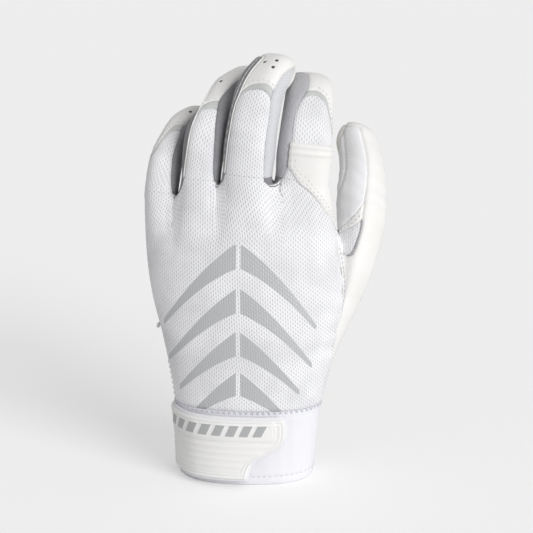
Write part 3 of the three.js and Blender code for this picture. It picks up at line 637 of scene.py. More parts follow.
def stitches(name, path, out, material, length=1.9, gap=0.9, radius=0.26, tilt=0.0):
    """Threads of a length and a gap along a path; each one bows outwards by a parabola of its own length."""
    size = np.linalg.norm(np.diff(path, axis=0), axis=1)
    run = np.concatenate([[0], np.cumsum(size)])
    count = max(1, int(run[-1] / (length + gap)))
    at = (np.arange(count) + HALF) * run[-1] / count
    pick = lambda values, where: np.stack([np.interp(where, run, values[:, k]) for k in range(3)], -1)
    ahead = unit(pick(path, at + 0.3) - pick(path, at - 0.3))
    up = unit(pick(out, at))
    side = unit(np.cross(up, ahead))
    ahead = ahead * np.cos(tilt) + side * np.sin(tilt)
    side = np.cross(up, ahead)
    body = ring_tube(STITCH_STATIONS * length, STITCH_SIDES, STITCH_SWELL * radius)
    body = np.concatenate([body, [[-HALF * length, 0, 0], [HALF * length, 0, 0]]])
    body[:, 2] += radius * (0.9 - 1.9 * (2 * body[:, 0] / length) ** 2)
    local = (body[None, :, 0:1] * ahead[:, None] + body[None, :, 1:2] * side[:, None] + body[None, :, 2:3]
             * up[:, None])
    points = (pick(path, at)[:, None] + local).reshape(-1, 3)
    each = len(body)
    quads, ends = tube_faces(len(STITCH_STATIONS), STITCH_SIDES, (each - 2, each - 1))
    start = (np.arange(count) * each)[:, None, None]
    return piece_from(name, points, [(quads + start).reshape(-1, 4), (ends + start).reshape(-1, 3)], material)


def cord_tube(name, path, radius, material, sides=10, out=None, lift=0.0):
    """A round cord along a path: a circle in the plane across each step, closed to a point at both ends."""
    ahead = unit(np.gradient(path, axis=0))
    guide = out if out is not None else np.tile([0.0, 0.0, 1.0], (len(path), 1))
    side = unit(np.cross(ahead, guide))
    up = np.cross(side, ahead)
    centre = path + up * lift
    turn = np.linspace(0, 2 * np.pi, sides, endpoint=False)
    ends = np.sqrt(np.clip(np.minimum(np.arange(len(path)), np.arange(len(path))[::-1]) + HALF, 0, 3) / 3.5)
    size = (radius * ends)[:, None, None]
    rings = (centre[:, None] + size * (np.cos(turn)[None, :, None] * side[:, None]
                                       + np.sin(turn)[None, :, None] * up[:, None]))
    points = np.concatenate([rings.reshape(-1, 3), centre[:1] - ahead[:1] * radius * HALF,
                             centre[-1:] + ahead[-1:] * radius * HALF])
    quads, tips = tube_faces(len(path), sides, (len(points) - 2, len(points) - 1))
    return piece_from(name, points, [quads[:, ::-1], tips[:, ::-1]], material)


# %% [markdown]
# The finishes. Each one starts from the real material: its name, how its surface is made, and what the
# eye gets from that. Colours are written as they look on a screen and turned to linear light by one
# function.

# %% Node and colour helpers
def linear(text):
    """sRGB hex to linear: the value over 12.92 below 0.04045, and its shifted 2.4th power above."""
    value = np.array([int(text[k:k + 2], 16) for k in (1, 3, 5)]) / 255
    out = np.where(value <= 0.04045, value / 12.92, ((value + 0.055) / 1.055) ** 2.4)
    return (*out.tolist(), 1.0)


def add(material, kind, inputs=None, **settings):
    """Adds one node, sets its settings, and fills its inputs with values or with other nodes' outputs."""
    tree = material.node_tree
    node = tree.nodes.new(kind)
    for key, value in settings.items():
        setattr(node, key, value)
    for key, value in (inputs or {}).items():
        if isinstance(value, bpy.types.NodeSocket):
            tree.links.new(value, node.inputs[key])
        else:
            node.inputs[key].default_value = value
    return node


def new_material(name, **sockets):
    """A Principled surface with its constant values set on its own sockets."""
    material = bpy.data.materials.new(name)
    material.use_nodes = True
    surface = material.node_tree.nodes["Principled BSDF"]
    for key, value in sockets.items():
        surface.inputs[key.replace("_", " ")].default_value = value
    return material, surface


def link(material, output, socket):
    """Joins one node's output to another node's socket."""
    material.node_tree.links.new(output, socket)


def cloth_mm(material, across_mm, along_mm):
    """The piece's own UV map, counted in repeats of a pattern so many mm wide and high."""
    uv = add(material, "ShaderNodeUVMap", uv_map="cloth")
    scaled = add(material, "ShaderNodeVectorMath",
                 {0: uv.outputs[0], 1: (100 / across_mm, 100 / along_mm, 1)},
                 operation="MULTIPLY")
    return add(material, "ShaderNodeSeparateXYZ", {0: scaled.outputs[0]})


def number(material, operation, a, b=0.0, c=0.0):
    """One sum on numbers or outputs."""
    return add(material, "ShaderNodeMath", {0: a, 1: b, 2: c}, operation=operation).outputs[0]


def between(material, value, low, high, to_low=0.0, to_high=1.0):
    """A smooth step of a value from low to high."""
    return add(material, "ShaderNodeMapRange",
               {"Value": value, "From Min": low, "From Max": high, "To Min": to_low,
               "To Max": to_high}, interpolation_type="SMOOTHSTEP").outputs[0]


def mixed(material, share, a, b):
    """Two colours or numbers mixed by a share."""
    node = add(material, "ShaderNodeMix", data_type="RGBA")
    for key, value in ((0, share), (6, a), (7, b)):
        if isinstance(value, bpy.types.NodeSocket):
            link(material, value, node.inputs[key])
        else:
            node.inputs[key].default_value = value
    return node.outputs[2]


# %% [markdown]
# Warp-knitted polyester mesh: loops drawn into wales, with small oval holes in staggered columns. To
# the eye it is a matt, slightly cool white cloth with rows of grey dots. The dots stand 1.2 mm apart
# across and 2 mm along. A silver ink is printed on part of the back: where the mark "ink" is over 2 the
# cloth is grey and satin, its holes half filled.

# %% Knitted mesh
def knit_mesh(name, across_mm=1.2, along_mm=2.0, white="#F9F9FB", shade="#BABABF", hole=0.52, printed=False):
    """Rows of oval holes, every second column half a step up; where the ink mark is over 2, the print."""
    material, surface = new_material(name, Roughness=0.85, Sheen_Weight=0.12)
    xyz = cloth_mm(material, across_mm, along_mm)
    column = number(material, "FLOOR", xyz.outputs[0])
    half_step = number(material, "MULTIPLY", number(material, "PINGPONG", column, 1.0), HALF)
    dx = number(material, "SUBTRACT", number(material, "FRACT", xyz.outputs[0]), HALF)
    dy = number(material, "SUBTRACT", number(material, "FRACT",
                                             number(material, "ADD", xyz.outputs[1], half_step)), HALF)
    oval = add(material, "ShaderNodeCombineXYZ",
               {0: number(material, "MULTIPLY", dx, 1.6), 1: number(material, "MULTIPLY", dy, 1.2)})
    away = add(material, "ShaderNodeVectorMath", {0: oval.outputs[0]}, operation="LENGTH").outputs["Value"]
    open_share = between(material, away, 0.12, hole, 1.0, 0.0)
    wale = number(material, "COSINE", number(material, "MULTIPLY", xyz.outputs[0], 2 * np.pi))
    place = add(material, "ShaderNodeTexCoord").outputs["Object"]
    cloud = add(material, "ShaderNodeTexNoise", {"Vector": place, "Scale": 60.0, "Detail": 2.0}).outputs[0]
    cloth = mixed(material, between(material, cloud, 0.3, 0.75), linear(white), linear("#E9E9EC"))
    colour = mixed(material, number(material, "MULTIPLY", open_share, 0.5), cloth, linear(shade))
    depth = number(material, "MULTIPLY_ADD", wale, 0.08, number(material, "MULTIPLY", open_share, -1.0))
    if printed:
        ink = between(material, add(material, "ShaderNodeAttribute", attribute_name="ink").outputs["Fac"],
                      1.96, 2.04)
        faded = mixed(material, number(material, "MULTIPLY", open_share, 0.3), linear("#C6C7C9"),
                      linear("#B8B9BC"))
        colour = mixed(material, ink, colour, faded)
        link(material, between(material, ink, 0, 1, 0.85, 0.42), surface.inputs["Roughness"])
        link(material, number(material, "MULTIPLY", ink, 0.2), surface.inputs["Metallic"])
        depth = number(material, "MULTIPLY", depth, number(material, "MULTIPLY_ADD", ink, -0.55, 1.0))
    bump = add(material, "ShaderNodeBump", {"Strength": 0.55, "Distance": 0.0004, "Height": depth})
    link(material, colour, surface.inputs["Base Color"])
    link(material, bump.outputs[0], surface.inputs["Normal"])
    return material


KNIT = knit_mesh("warp_knit_mesh")
KNIT_PRINTED = knit_mesh("warp_knit_mesh_printed", printed=True)
KNIT_FINE = knit_mesh("fine_warp_knit_mesh", across_mm=1.1, along_mm=1.7, white="#FDFDFE", shade="#D9D9DD")

# %% [markdown]
# Split leather and coated synthetic leather: a white, finely pebbled skin with a soft satin. The
# pebbles are cells about 0.9 mm wide, drawn a little coarser than the real grain so that they show.

# %% Leather
VENT_MARK = 9.1


def leather(name, base="#F5F4F2", worn="#ECEBE8", rough=0.52, grain_mm=0.9, depth=0.25, vents=False):
    """Pebbles are cells with grooves between them; where the vent mark is raised, a dark punched hole."""
    material, surface = new_material(name, Sheen_Weight=0.05)
    place = add(material, "ShaderNodeTexCoord").outputs["Object"]
    cells = add(material, "ShaderNodeTexVoronoi", {"Vector": place, "Scale": 1 / (grain_mm * MM)},
                feature="DISTANCE_TO_EDGE")
    crease = between(material, cells.outputs["Distance"], 0.0, 0.14)
    cloud = add(material, "ShaderNodeTexNoise", {"Vector": place, "Scale": 45.0, "Detail": 3.0}).outputs[0]
    wear = between(material, cloud, 0.42, 0.8)
    colour = mixed(material, number(material, "MULTIPLY", wear, 0.6), linear(base), linear(worn))
    colour = mixed(material, number(material, "MULTIPLY_ADD", crease, -0.12, 0.12), colour, linear("#CFCCC6"))
    if vents:
        mark = add(material, "ShaderNodeAttribute", attribute_name="vent").outputs["Fac"]
        colour = mixed(material, between(material, mark, VENT_MARK - 0.15, VENT_MARK + 0.15), colour,
                       linear("#3E3E42"))
    link(material, colour, surface.inputs["Base Color"])
    link(material, number(material, "MULTIPLY_ADD", wear, 0.1, rough), surface.inputs["Roughness"])
    bump = add(material, "ShaderNodeBump", {"Strength": depth, "Distance": 0.0002, "Height": crease})
    link(material, bump.outputs[0], surface.inputs["Normal"])
    return material


WHITE_LEATHER = leather("white_leather")
PALM_LEATHER = leather("white_palm_leather", base="#F2F0EC", worn="#E6E3DD", rough=0.6, grain_mm=1.3,
                       depth=0.35)

# %% [markdown]
# Spandex: a stretch knit of elastane and nylon, light grey, matt, with fine ribs that run across the
# finger. The ribs are drawn 1.1 mm apart; the real ones are half that and wouldn't show. The finger
# walls are one light cloth in three tones: dark grey is painted shade deep between the fingers, mid
# grey is painted half shade on the index finger's outer wall, and pale grey is the tone of a wall that
# the sun reaches.

# %% Stretch knit, faced foam, moulded cover, hook and loop, thread
def ribbed(name, colour, groove, pitch_mm, slant, rough=0.8, depth=0.4, sheen=0.25):
    """A sine wave over the slanted distance along the cloth gives the ribs their height and shade."""
    material, surface = new_material(name, Roughness=rough, Sheen_Weight=sheen)
    xyz = cloth_mm(material, pitch_mm, pitch_mm)
    line = number(material, "MULTIPLY_ADD", xyz.outputs[0], slant, xyz.outputs[1])
    wave = number(material, "SINE", number(material, "MULTIPLY", line, 2 * np.pi))
    rise = between(material, wave, -1.0, 0.6)
    place = add(material, "ShaderNodeTexCoord").outputs["Object"]
    cloud = add(material, "ShaderNodeTexNoise", {"Vector": place, "Scale": 70.0, "Detail": 3.0}).outputs[0]
    cloth = mixed(material, rise, linear(groove), linear(colour))
    link(material, mixed(material, between(material, cloud, 0.3, 0.8, 0.0, 0.12), cloth, linear("#FFFFFF")),
         surface.inputs["Base Color"])
    bump = add(material, "ShaderNodeBump", {"Strength": depth, "Distance": 0.0003, "Height": rise})
    link(material, bump.outputs[0], surface.inputs["Normal"])
    return material


# Painted shade: the walls deep between the fingers and the crotches get this cloth in dark grey and the index
# finger's outer wall gets it in mid grey. The middle finger's inner wall, lit by the sun, gets it in pale
# grey.
WALL_SPANDEX_PAINTED_DEEP_SHADE = ribbed("grey_spandex", "#8E8E92", "#77777C", 1.1, 0.35)
WALL_SPANDEX_PAINTED_HALF_SHADE = ribbed("wall_spandex_painted_half_shade", "#BEBEC2", "#A6A6AB", 1.1, 0.35)
WALL_SPANDEX_LIT_TONE = ribbed("wall_spandex_lit_tone", "#DADBDE", "#CBCCD0", 1.1, 0.35)
STRIP_SPANDEX = ribbed("pale_grey_spandex", "#F8F8FA", "#EBECEF", 1.1, 0.35)
THUMB_SPANDEX = ribbed("light_grey_spandex", "#FAFAFC", "#ECEDF0", 0.9, 0.15, rough=0.7, depth=0.25)
PIPING_GREY = ribbed("grey_binding_tape", "#A9A9AE", "#98989D", 0.9, 0.6, rough=0.6, depth=0.2, sheen=0.1)
BAND_CLOTH = ribbed("silver_grey_tape", "#CDCFCD", "#C2C4C2", 0.9, 0.6, rough=0.5, depth=0.2, sheen=0.1)
JERSEY = ribbed("white_faced_neoprene", "#F2F2F6", "#EAEAF0", 0.8, 0.9, rough=0.9, depth=0.18)


def speckled(name, colour, dark, size_mm, rough, depth, metallic=0.0):
    """A surface with fine bumps in cells of a size: fuzz, hooks, twisted thread or a moulded spark finish."""
    material, surface = new_material(name, Roughness=rough, Metallic=metallic)
    place = add(material, "ShaderNodeTexCoord").outputs["Object"]
    cells = add(material, "ShaderNodeTexVoronoi", {"Vector": place, "Scale": 1 / (size_mm * MM)})
    rise = between(material, cells.outputs["Distance"], 0.0, 0.7, 1.0, 0.0)
    link(material, mixed(material, rise, linear(dark), linear(colour)), surface.inputs["Base Color"])
    bump = add(material, "ShaderNodeBump", {"Strength": depth, "Distance": 0.0003, "Height": rise})
    link(material, bump.outputs[0], surface.inputs["Normal"])
    return material


HOOK_TAPE = speckled("nylon_hook_tape", "#E6E6E4", "#B9B9B6", 1.3, 0.5, 0.8)
LOOP_TAPE = speckled("brushed_loop_tape", "#F0F0EE", "#DADAD8", 0.8, 0.95, 0.9)
OVERLOCK_THREAD = speckled("pale_lavender_thread", "#E3E2EC", "#D3D2E0", 0.4, 0.6, 0.3)
WHITE_THREAD = speckled("white_polyester_thread", "#F4F4F2", "#E4E4E2", 0.4, 0.6, 0.3)
GREY_THREAD = speckled("lavender_grey_thread", "#CFCEDA", "#BEBDCB", 0.4, 0.6, 0.3)


def moulded_cover():
    """Injection-moulded TPU: milky, warm white, with the soft gloss and slight depth of a rubbery plastic."""
    material, surface = new_material("milky_moulded_tpu", Roughness=0.36, Subsurface_Weight=0.12,
                                     Subsurface_Scale=0.002,
                                     Subsurface_Radius=(1.0, 1.0, 1.0))
    place = add(material, "ShaderNodeTexCoord").outputs["Object"]
    cloud = add(material, "ShaderNodeTexNoise", {"Vector": place, "Scale": 35.0, "Detail": 2.0}).outputs[0]
    milky = mixed(material, between(material, cloud, 0.3, 0.8), linear("#FAF9F8"), linear("#F4F3F2"))
    ink = between(material, add(material, "ShaderNodeAttribute", attribute_name="ink").outputs["Fac"], 1.95,
                  2.05)
    link(material, mixed(material, ink, milky, linear("#B7B8B9")), surface.inputs["Base Color"])
    link(material, between(material, cloud, 0.2, 0.9, 0.3, 0.42), surface.inputs["Roughness"])
    return material


TPU = moulded_cover()
print("finishes", len([m for m in bpy.data.materials if m.use_nodes]))

# %% [markdown]
# The back of the hand is one cut of knitted mesh, sewn along the little finger's side, round the
# thumb's opening and over the crotches, and running on into the finger backs without a seam. Its grid
# follows the hand's sections upwards and the finger roots across, so its last row is the very line at
# which the finger backs begin.

# %% Limits and grid of a hand panel
def panel_limits(z, side):
    """The slit's side stands off the side line; the thumb's side is the opening's half ellipse about
    the side seam."""
    reach = (THUMB_HOLE_HIGH - THUMB_HOLE_LOW) * HALF
    rise = (z - THUMB_HOLE_LOW - reach) / reach
    turn = np.radians(HOLE_BACK_TURN if side < 0 else HOLE_PALM_TURN)
    edge = side_seam(z) + side * turn * np.sqrt(np.maximum(0, 1 - rise * rise))
    return phi_off(slit_offset(z), z, side), edge if side < 0 else 2 * np.pi - edge


def panel_grid(side, root_columns, dip_columns, levels):
    """Columns spread over each root and dip of the upper edge; those near either limit are drawn in
    towards it."""
    parts = [np.linspace(a, b, dip_columns if kind == "dip" else root_columns)[1:]
             for kind, _, a, b in TOP_EDGES[side]]
    phi = np.concatenate([[0.0], *parts])[None, :]
    z = np.asarray(levels)[:, None]
    low, high = panel_limits(z, side)
    far = np.pi - SQUEEZE_FAR
    near = lerp(low, SQUEEZE_NEAR, phi / SQUEEZE_NEAR)
    beyond = lerp(far, high, (phi - far) / SQUEEZE_FAR)
    return np.where(phi < SQUEEZE_NEAR, near, np.where(phi > far, beyond, phi)), z + 0 * phi, phi[0]


def dip_share(phi, side):
    """1 within a dip between two fingers and 0 along a root, with soft changes."""
    total = 0 * phi
    for kind, _, a, b in TOP_EDGES[side]:
        if kind == "dip":
            total = total + ease((phi - a) / 0.03 + HALF) * ease((b - phi) / 0.03 + HALF)
    return total


def bodies_blend(piece, digit_body, d, start, end):
    """Bakes the piece's place into its mesh. The points of the centre line at which it would go over from
    the hand to the digit are worked out, but not used."""
    a, b = (digit_line(d, np.array(float(s)))[0] for s in (start, end))
    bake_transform(piece)
    return piece


SEAM_DROP = 0.6
OPENING_DROP = 0.2
HOLLOW_REACH = 10
HOLLOW_SHARE = 0.7
HOLLOW_FROM = 104
HOLLOW_RISE = 22
HOLLOW_HALF = 43
HOLLOW_EDGE = 9
HOLLOW_CLOSE = 6
FOLD_PITCH = 26.0
FOLD_HEIGHT = 0.35
FOLD_CLOSE = 9
PULL_PITCH = 9.5
PULL_HEIGHT = 0.28
back_levels = np.linspace(CUFF_HEIGHT, HAND_LENGTH, 188)
BACK_PHI, BACK_Z, back_columns = panel_grid(-1, 36, 12, back_levels)
back_surface = lambda phi, z: hand_point(phi, z, -1)
back_base = back_surface(BACK_PHI, BACK_Z)
print("back panel grid", back_base.shape)

# %% [markdown]
# The print: a column of chevrons in silver ink, a plain pattern of the size and colour of such prints.
# Each chevron is a band whose middle falls away from the centre line on both sides and whose height
# tapers outwards. The cloth keeps only the distance to the band's edge at each vertex, and the material
# turns that into a sharp edge.

# %% The printed chevrons
PRINT_CENTRE = -3.5
PRINT_LEVELS = (53, 73.5, 95, 117)
PRINT_REACHES = (24, 30, 36, 38)
PRINT_THICK = 12.5
PRINT_THIN = 3
PRINT_FALL = 0.52


def chevrons(x, z):
    """Signed distance in mm to the nearest band: half its height less the distance from its falling
    middle line."""
    out = np.full(np.broadcast(x, z).shape, -1e3)
    for level, reach in zip(PRINT_LEVELS, PRINT_REACHES):
        off = np.abs(x - PRINT_CENTRE)
        half = lerp(PRINT_THICK, PRINT_THIN, np.clip(off / reach, 0, 1)) * HALF
        band = half - np.abs(z - level + PRINT_FALL * off + 0.012 * off * off)
        out = np.maximum(out, np.minimum(band * 0.86, np.minimum(reach - off, off - 1.1)))
    return out


row_x, row_y = back_base[..., 0], back_base[..., 1]
weight = np.exp(-((row_x[:, :, None] - row_x[:, None, :]) / HOLLOW_REACH) ** 2)
level_y = (weight * row_y[:, None, :]).sum(-1) / weight.sum(-1)
hollow = np.clip(row_y - level_y, 0, None) * ease((BACK_Z - HOLLOW_FROM) / HOLLOW_RISE)
hollow = hollow * ease((HOLLOW_HALF - np.abs(row_x - section(BACK_Z)[0])) / HOLLOW_EDGE)
filled = back_base - hollow[..., None] * [0, 1, 0]
left, right, _, _ = walked(filled)
middle_column = int(np.argmin(np.abs(back_columns - np.pi * HALF)))
back_u = left - left[:, middle_column:middle_column + 1]
ink = np.clip(chevrons(back_base[..., 0], back_base[..., 2]), -1, 1) + 2
folds = ripple(back_base[..., 0], back_base[..., 2], FOLD_PITCH, 3) * FOLD_HEIGHT
folds = folds * ease((HAND_LENGTH - BACK_Z) / FOLD_CLOSE)
hollow = hollow * HOLLOW_SHARE * ease((HAND_LENGTH - BACK_Z) / HOLLOW_CLOSE)
near_thumb = np.exp(-((right - 4) / 9) ** 2) * ease((BACK_Z - 52) / 16) * ease((128 - BACK_Z) / 16)
slant = (back_base[..., 2] + 0.35 * back_base[..., 0]) * 2 * np.pi / PULL_PITCH
pull = np.sin(slant + 0.12 * right) * near_thumb * PULL_HEIGHT
relief = sewn(back_base, left=0.3, right=OPENING_DROP, low=SEAM_DROP,
              top=SEAM_DROP * dip_share(back_columns, -1))
relief = relief + folds + pull + hollow
back_panel = shell("back_of_hand", back_surface, BACK_PHI, BACK_Z, FABRIC, KNIT_PRINTED, relief,
                   uv=np.stack([back_u, BACK_Z], -1) / 100, marks={"ink": ink})
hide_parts("back_panel")
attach(back_panel, "hand")
print("back panel printed share", round(float((ink > 2).mean()), 2))

# %% [markdown]
# The palm is one cut of leather up to the finger roots. It is hidden in the photograph, and is made
# like that of common batting gloves: plain leather with crease lines where the hand folds.

# %% The palm
palm_levels = np.linspace(CUFF_HEIGHT, HAND_LENGTH, 120)
PALM_PHI, PALM_Z, palm_columns = panel_grid(1, 26, 10, palm_levels)
palm_surface = lambda phi, z: hand_point(phi, z, 1)
palm_base = palm_surface(PALM_PHI, PALM_Z)


def crease(x, z, x0, z0, slope, bow, reach, depth, width=1.1):
    """A fold line: a bell across the distance from a slanted bowed line, fading beyond its reach."""
    off = z - z0 - slope * (x - x0) - bow * (x - x0) ** 2
    return -depth * np.exp(-(off / width) ** 2) * ease((reach - np.abs(x - x0)) / 8)


px, pz = palm_base[..., 0], palm_base[..., 2]
lines = crease(px, pz, -12, 118, 0.05, 0.006, 34, 0.7) + crease(px, pz, 8, 104, 0.28, 0.004, 30, 0.6)
lines = lines + crease(px, pz, -20, 88, 0.5, -0.006, 26, 0.45) + ripple(px, pz, 24.0, 8) * 0.35
relief = (sewn(palm_base, left=0.3, right=OPENING_DROP, low=SEAM_DROP,
               top=SEAM_DROP * dip_share(palm_columns, 1)) + lines)
palm = shell("palm_of_hand", palm_surface, PALM_PHI, PALM_Z, LEATHER, PALM_LEATHER, relief, flip=True)
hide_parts("palm_panel")
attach(palm, "hand")
print("palm grid", palm_base.shape)

# %% [markdown]
# Each finger has a mesh back, a tape band in an arch, a leather tip, a leather palm side and stretch
# walls. All share one tube. A piece is a patch of the tube between two seam lines and two ends, so
# neighbours share their seam line exactly.

# %% Patches of a tube between its seams
def patch(left, right, low, high, cols, rows):
    """Grid of angles and walks: the walk goes from low to high of the share across, the angle from
    left to right."""
    s = np.linspace(0, 1, cols)[None, :]
    t = np.linspace(0, 1, rows)[:, None]
    walk = lerp(low(s), high(s), t)
    return lerp(left(walk), right(walk), s), walk, s + 0 * t


# Angle off the middle of the back in degrees, then the walk of the tape band's lower and upper edge in mm
BAND_EDGES = [
    [[-70, 13.5, 14.3], [-50, 15.5, 17], [-35, 18.8, 21], [-24, 22, 24.9], [-12, 25.7, 28.4], [0, 28, 30.7],
     [12, 28.8, 31.9], [25, 29, 32.5], [50, 29.2, 32.6]],
    [[-60, 19.5, 20.5], [-45, 24, 27], [-31, 28, 31.2], [-20, 29.2, 33], [-8, 30, 34.4], [4, 31.1, 35.8],
     [20, 32, 36.6]],
    [[-45, 33, 33.4], [-30, 35.2, 35.9], [-10, 37.6, 39], [0, 38.4, 40.2], [10, 38.9, 40.9], [25, 38.9, 41.3],
     [40, 38.2, 41.2], [55, 36.5, 40.6], [75, 34, 39]],
    [[-20, 35.5, 37.2], [-3, 36.6, 38.3], [5, 37, 38.7], [20, 35.9, 37.8], [35, 34, 36.2], [46, 30.5, 33],
     [60, 25.5, 28], [75, 20.5, 22.5], [90, 18, 19]],
]
BLEND_END = 17
LITTLE_TIP_TRIM = 0.4
# How far each wall swells near the root and near the tip, in mm
# Wrinkles, folds and vents of the finger pieces: pitches, depths and places in mm
WRINKLE_PLACE = 0.3
WRINKLE_RUN = 9
WRINKLE_PITCH = 6.5
WRINKLE_HEIGHT = 0.12
PALM_FOLDS = (-4, 0, 4.5)
PALM_FOLD_HALF = 0.9
PALM_FOLD_DEPTH = 0.45
VENT_DEPTH = 0.5
SWELL_CHANGE = 22
SWELL_RUN = 12
WALL_SWELLS = {("little", "inner"): (0.6, -0.25), ("ring", "outer"): (0.6, -0.9),
               ("ring", "inner"): (0.45, 0.2),
               ("middle", "outer"): (0.45, 0.45), ("middle", "inner"): (0.8, 0.8),
               ("index", "outer"): (0.8, 0.8)}
ROOT = SEAM * HALF
hump = lambda s: 1 - (2 * s - 1) ** 2
wide = lambda base: (lambda s: base + 0 * s)


def left_seam(k, d):
    """Seam of the back towards the little finger's side, as a function of the walk."""
    plain = lambda w: -(little_side(d, w) if k == 0 else finger_seam(d, w))
    return plain if k < 2 else (lambda w: -drawn_seam(d, (MIDDLE_LEFT, INDEX_LEFT)[k - 2], w))


def right_seam(k, d):
    """Seam of the back towards the thumb; the index finger's lies on its side line."""
    if k == len(DIGITS) - 1:
        return lambda w: np.pi * HALF + 0 * w
    return lambda w: drawn_seam(d, (LITTLE_RIGHT, RING_RIGHT, MIDDLE_RIGHT)[k], w)


def band_edge(k, d, column):
    """An edge of the tape band as a smooth curve over the share across the finger's back."""
    rows = np.array(BAND_EDGES[k], float)
    walk, low = rows[:, column], left_seam(k, d)(rows[:, column])
    share = (np.radians(rows[:, 0]) - low) / (right_seam(k, d)(walk) - low)
    return lambda s: along_table(np.stack([share, walk], -1), s)


def vent_mark(points, centres):
    """Ten less the distance to the nearest vent, never below zero, so that an unmarked piece has none."""
    away = np.min([np.linalg.norm(points - c, axis=-1) for c in centres], axis=0)
    return np.clip(10 - away, 0, 10)


# Angle in degrees and walk in mm
VENTS = {"little": ((14, 39.6),), "ring": ((-14, 46.4),), "middle": ((27, 48.7), (22, 53.1), (0, 50.3)),
         "index": ()}
FINGER_LEATHER = leather("punched_white_leather", vents=True)
print("fingertip lengths", [round(digit_end(d) - d["length"] + d["leather"], 1) for d in DIGITS])

# %% The pieces of the four fingers
for k, d in enumerate(DIGITS):
    surface = lambda theta, walk, d=d: digit_point(d, theta, walk)
    name = d["name"]
    closed_left, closed_right = k == 0, k == len(DIGITS) - 1
    left, right = left_seam(k, d), right_seam(k, d)
    root_phi = [(a, b) for kind, _, a, b in TOP_EDGES[-1] if kind == "root"][k]
    band_low, band_high = band_edge(k, d, 1), band_edge(k, d, 2)
    theta, walk, share = patch(left, right, wide(-ROOT), band_low, 40, 84)
    base = surface(theta, walk)
    across, _, _, _ = walked(base)
    at = np.clip(-theta[:, :1] / (theta[:, -1:] - theta[:, :1]), 0, 0.999) * (theta.shape[1] - 1)
    column = at.astype(int)
    ridge = lerp(np.take_along_axis(across, column, 1), np.take_along_axis(across, column + 1, 1),
                 at - column)
    row_u = np.interp(lerp(*root_phi, share), back_columns, back_u[-1])
    centre = across - ridge + np.interp(np.mean(root_phi), back_columns, back_u[-1])
    u = lerp(row_u, centre, ease(walk / 12))
    near_bend = np.exp(-((walk - WRINKLE_PLACE * d["length"]) / WRINKLE_RUN) ** 2)
    wrinkle = np.sin(walk * 2 * np.pi / WRINKLE_PITCH + 2 * share) * near_bend * WRINKLE_HEIGHT
    relief = sewn(base, left=SEAM_DROP, right=SEAM_DROP, top=0.35) + wrinkle
    back = shell(name + "_finger_back", surface, theta, walk, FABRIC, KNIT, relief,
                 uv=np.stack([u, walk + HAND_LENGTH], -1) / 100)
    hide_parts(name + "_back")
    bodies_blend(back, name, d, 0, BLEND_END)

    theta, walk, share = patch(left, right, band_low, band_high, 40, 9)
    base = surface(theta, walk)
    band = shell(name + "_tape_band", surface, theta, walk, FABRIC, BAND_CLOTH,
                 sewn(base, left=SEAM_DROP, right=SEAM_DROP, low=0.3, top=0.3, turn=0.5, pucker=0))
    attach(band, name)

    end = closed_end(d)
    theta, walk, share = patch(left, right, band_high, wide(end), 44, 60)
    base = surface(theta, walk)
    centres = [surface(np.radians(a), np.array(w)) for a, w in VENTS[name]]
    marks = {"vent": vent_mark(base, centres)} if centres else None
    relief = (sewn(base, left=SEAM_DROP, right=SEAM_DROP, low=0.4)
              + ripple(base[..., 0], base[..., 2], 9.0, k) * 0.12)
    if centres:
        relief = relief - VENT_DEPTH * ease((marks["vent"] - 8.9) / 0.6)
    if name == "little":
        relief = relief - LITTLE_TIP_TRIM * ease((share - 0.6) / 0.25)
    tip = shell(name + "_leather_tip", surface, theta, walk, LEATHER, FINGER_LEATHER, relief, marks=marks)
    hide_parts(name + "_tip")
    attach(tip, name)

    palm_from = right if closed_right else (lambda w, d=d: np.pi - finger_seam(d, w))
    own_seam = lambda w, d=d: np.pi + finger_seam(d, w)
    palm_to = (lambda w, l=left: 2 * np.pi + l(w)) if closed_left else own_seam
    theta, walk, share = patch(palm_from, palm_to, wide(-ROOT), wide(end), 34, 100)
    base = surface(theta, walk)
    fold = sum(np.exp(-((walk - s * d["length"] - off) / PALM_FOLD_HALF) ** 2) for s in BEND_SHARES
               for off in PALM_FOLDS)
    relief = sewn(base, left=SEAM_DROP, right=SEAM_DROP) - PALM_FOLD_DEPTH * fold * hump(share)
    pad = shell(name + "_palm_side", surface, theta, walk, LEATHER, PALM_LEATHER, relief)
    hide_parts(name + "_palm")
    bodies_blend(pad, name, d, 0, BLEND_END)

    for word, sign in (("outer", -1), ("inner", 1)):
        if (closed_left and sign < 0) or (closed_right and sign > 0):
            continue
        low = right if sign > 0 else (lambda w, d=d: finger_seam(d, w) - np.pi)
        high = (lambda w, d=d: np.pi - finger_seam(d, w)) if sign > 0 else left
        theta, walk, share = patch(low, high, wide(-ROOT), wide(float(tip_walk(d, 1.9))), 22, 96)
        base = surface(theta, walk)
        far_up = ease((walk - SWELL_CHANGE) / SWELL_RUN)
        swell = lerp(*WALL_SWELLS[name, word], far_up) * ease(walk / SWELL_RUN)
        relief = sewn(base, left=SEAM_DROP, right=SEAM_DROP) + swell * hump(share)
        if (name, word) == ("ring", "outer"):
            relief = relief - LITTLE_TIP_TRIM * far_up
        # Lit and shaded tones of one wall cloth: two walls get a paler tone with less painted shade, and all
        # others get the dark grey of painted shade.
        wall_tone_by_light = {("middle", "inner"): WALL_SPANDEX_LIT_TONE, ("index", "outer"): WALL_SPANDEX_PAINTED_HALF_SHADE}
        cloth = wall_tone_by_light.get((name, word), WALL_SPANDEX_PAINTED_DEEP_SHADE)
        wall = shell(f"{name}_{word}_stretch_wall", surface, theta, walk, FABRIC, cloth, relief)
        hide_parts(f"{name}_{word}_wall")
        bodies_blend(wall, name, d, 0, BLEND_END)
    print(name, "pieces made, tip seam at", round(end, 1), "mm")

# %% [markdown]
# Between two fingers a saddle of stretch cloth closes the glove. It is a half turn from one finger to
# the next, swept from the back's edge to the palm's edge, and rides with the hand.

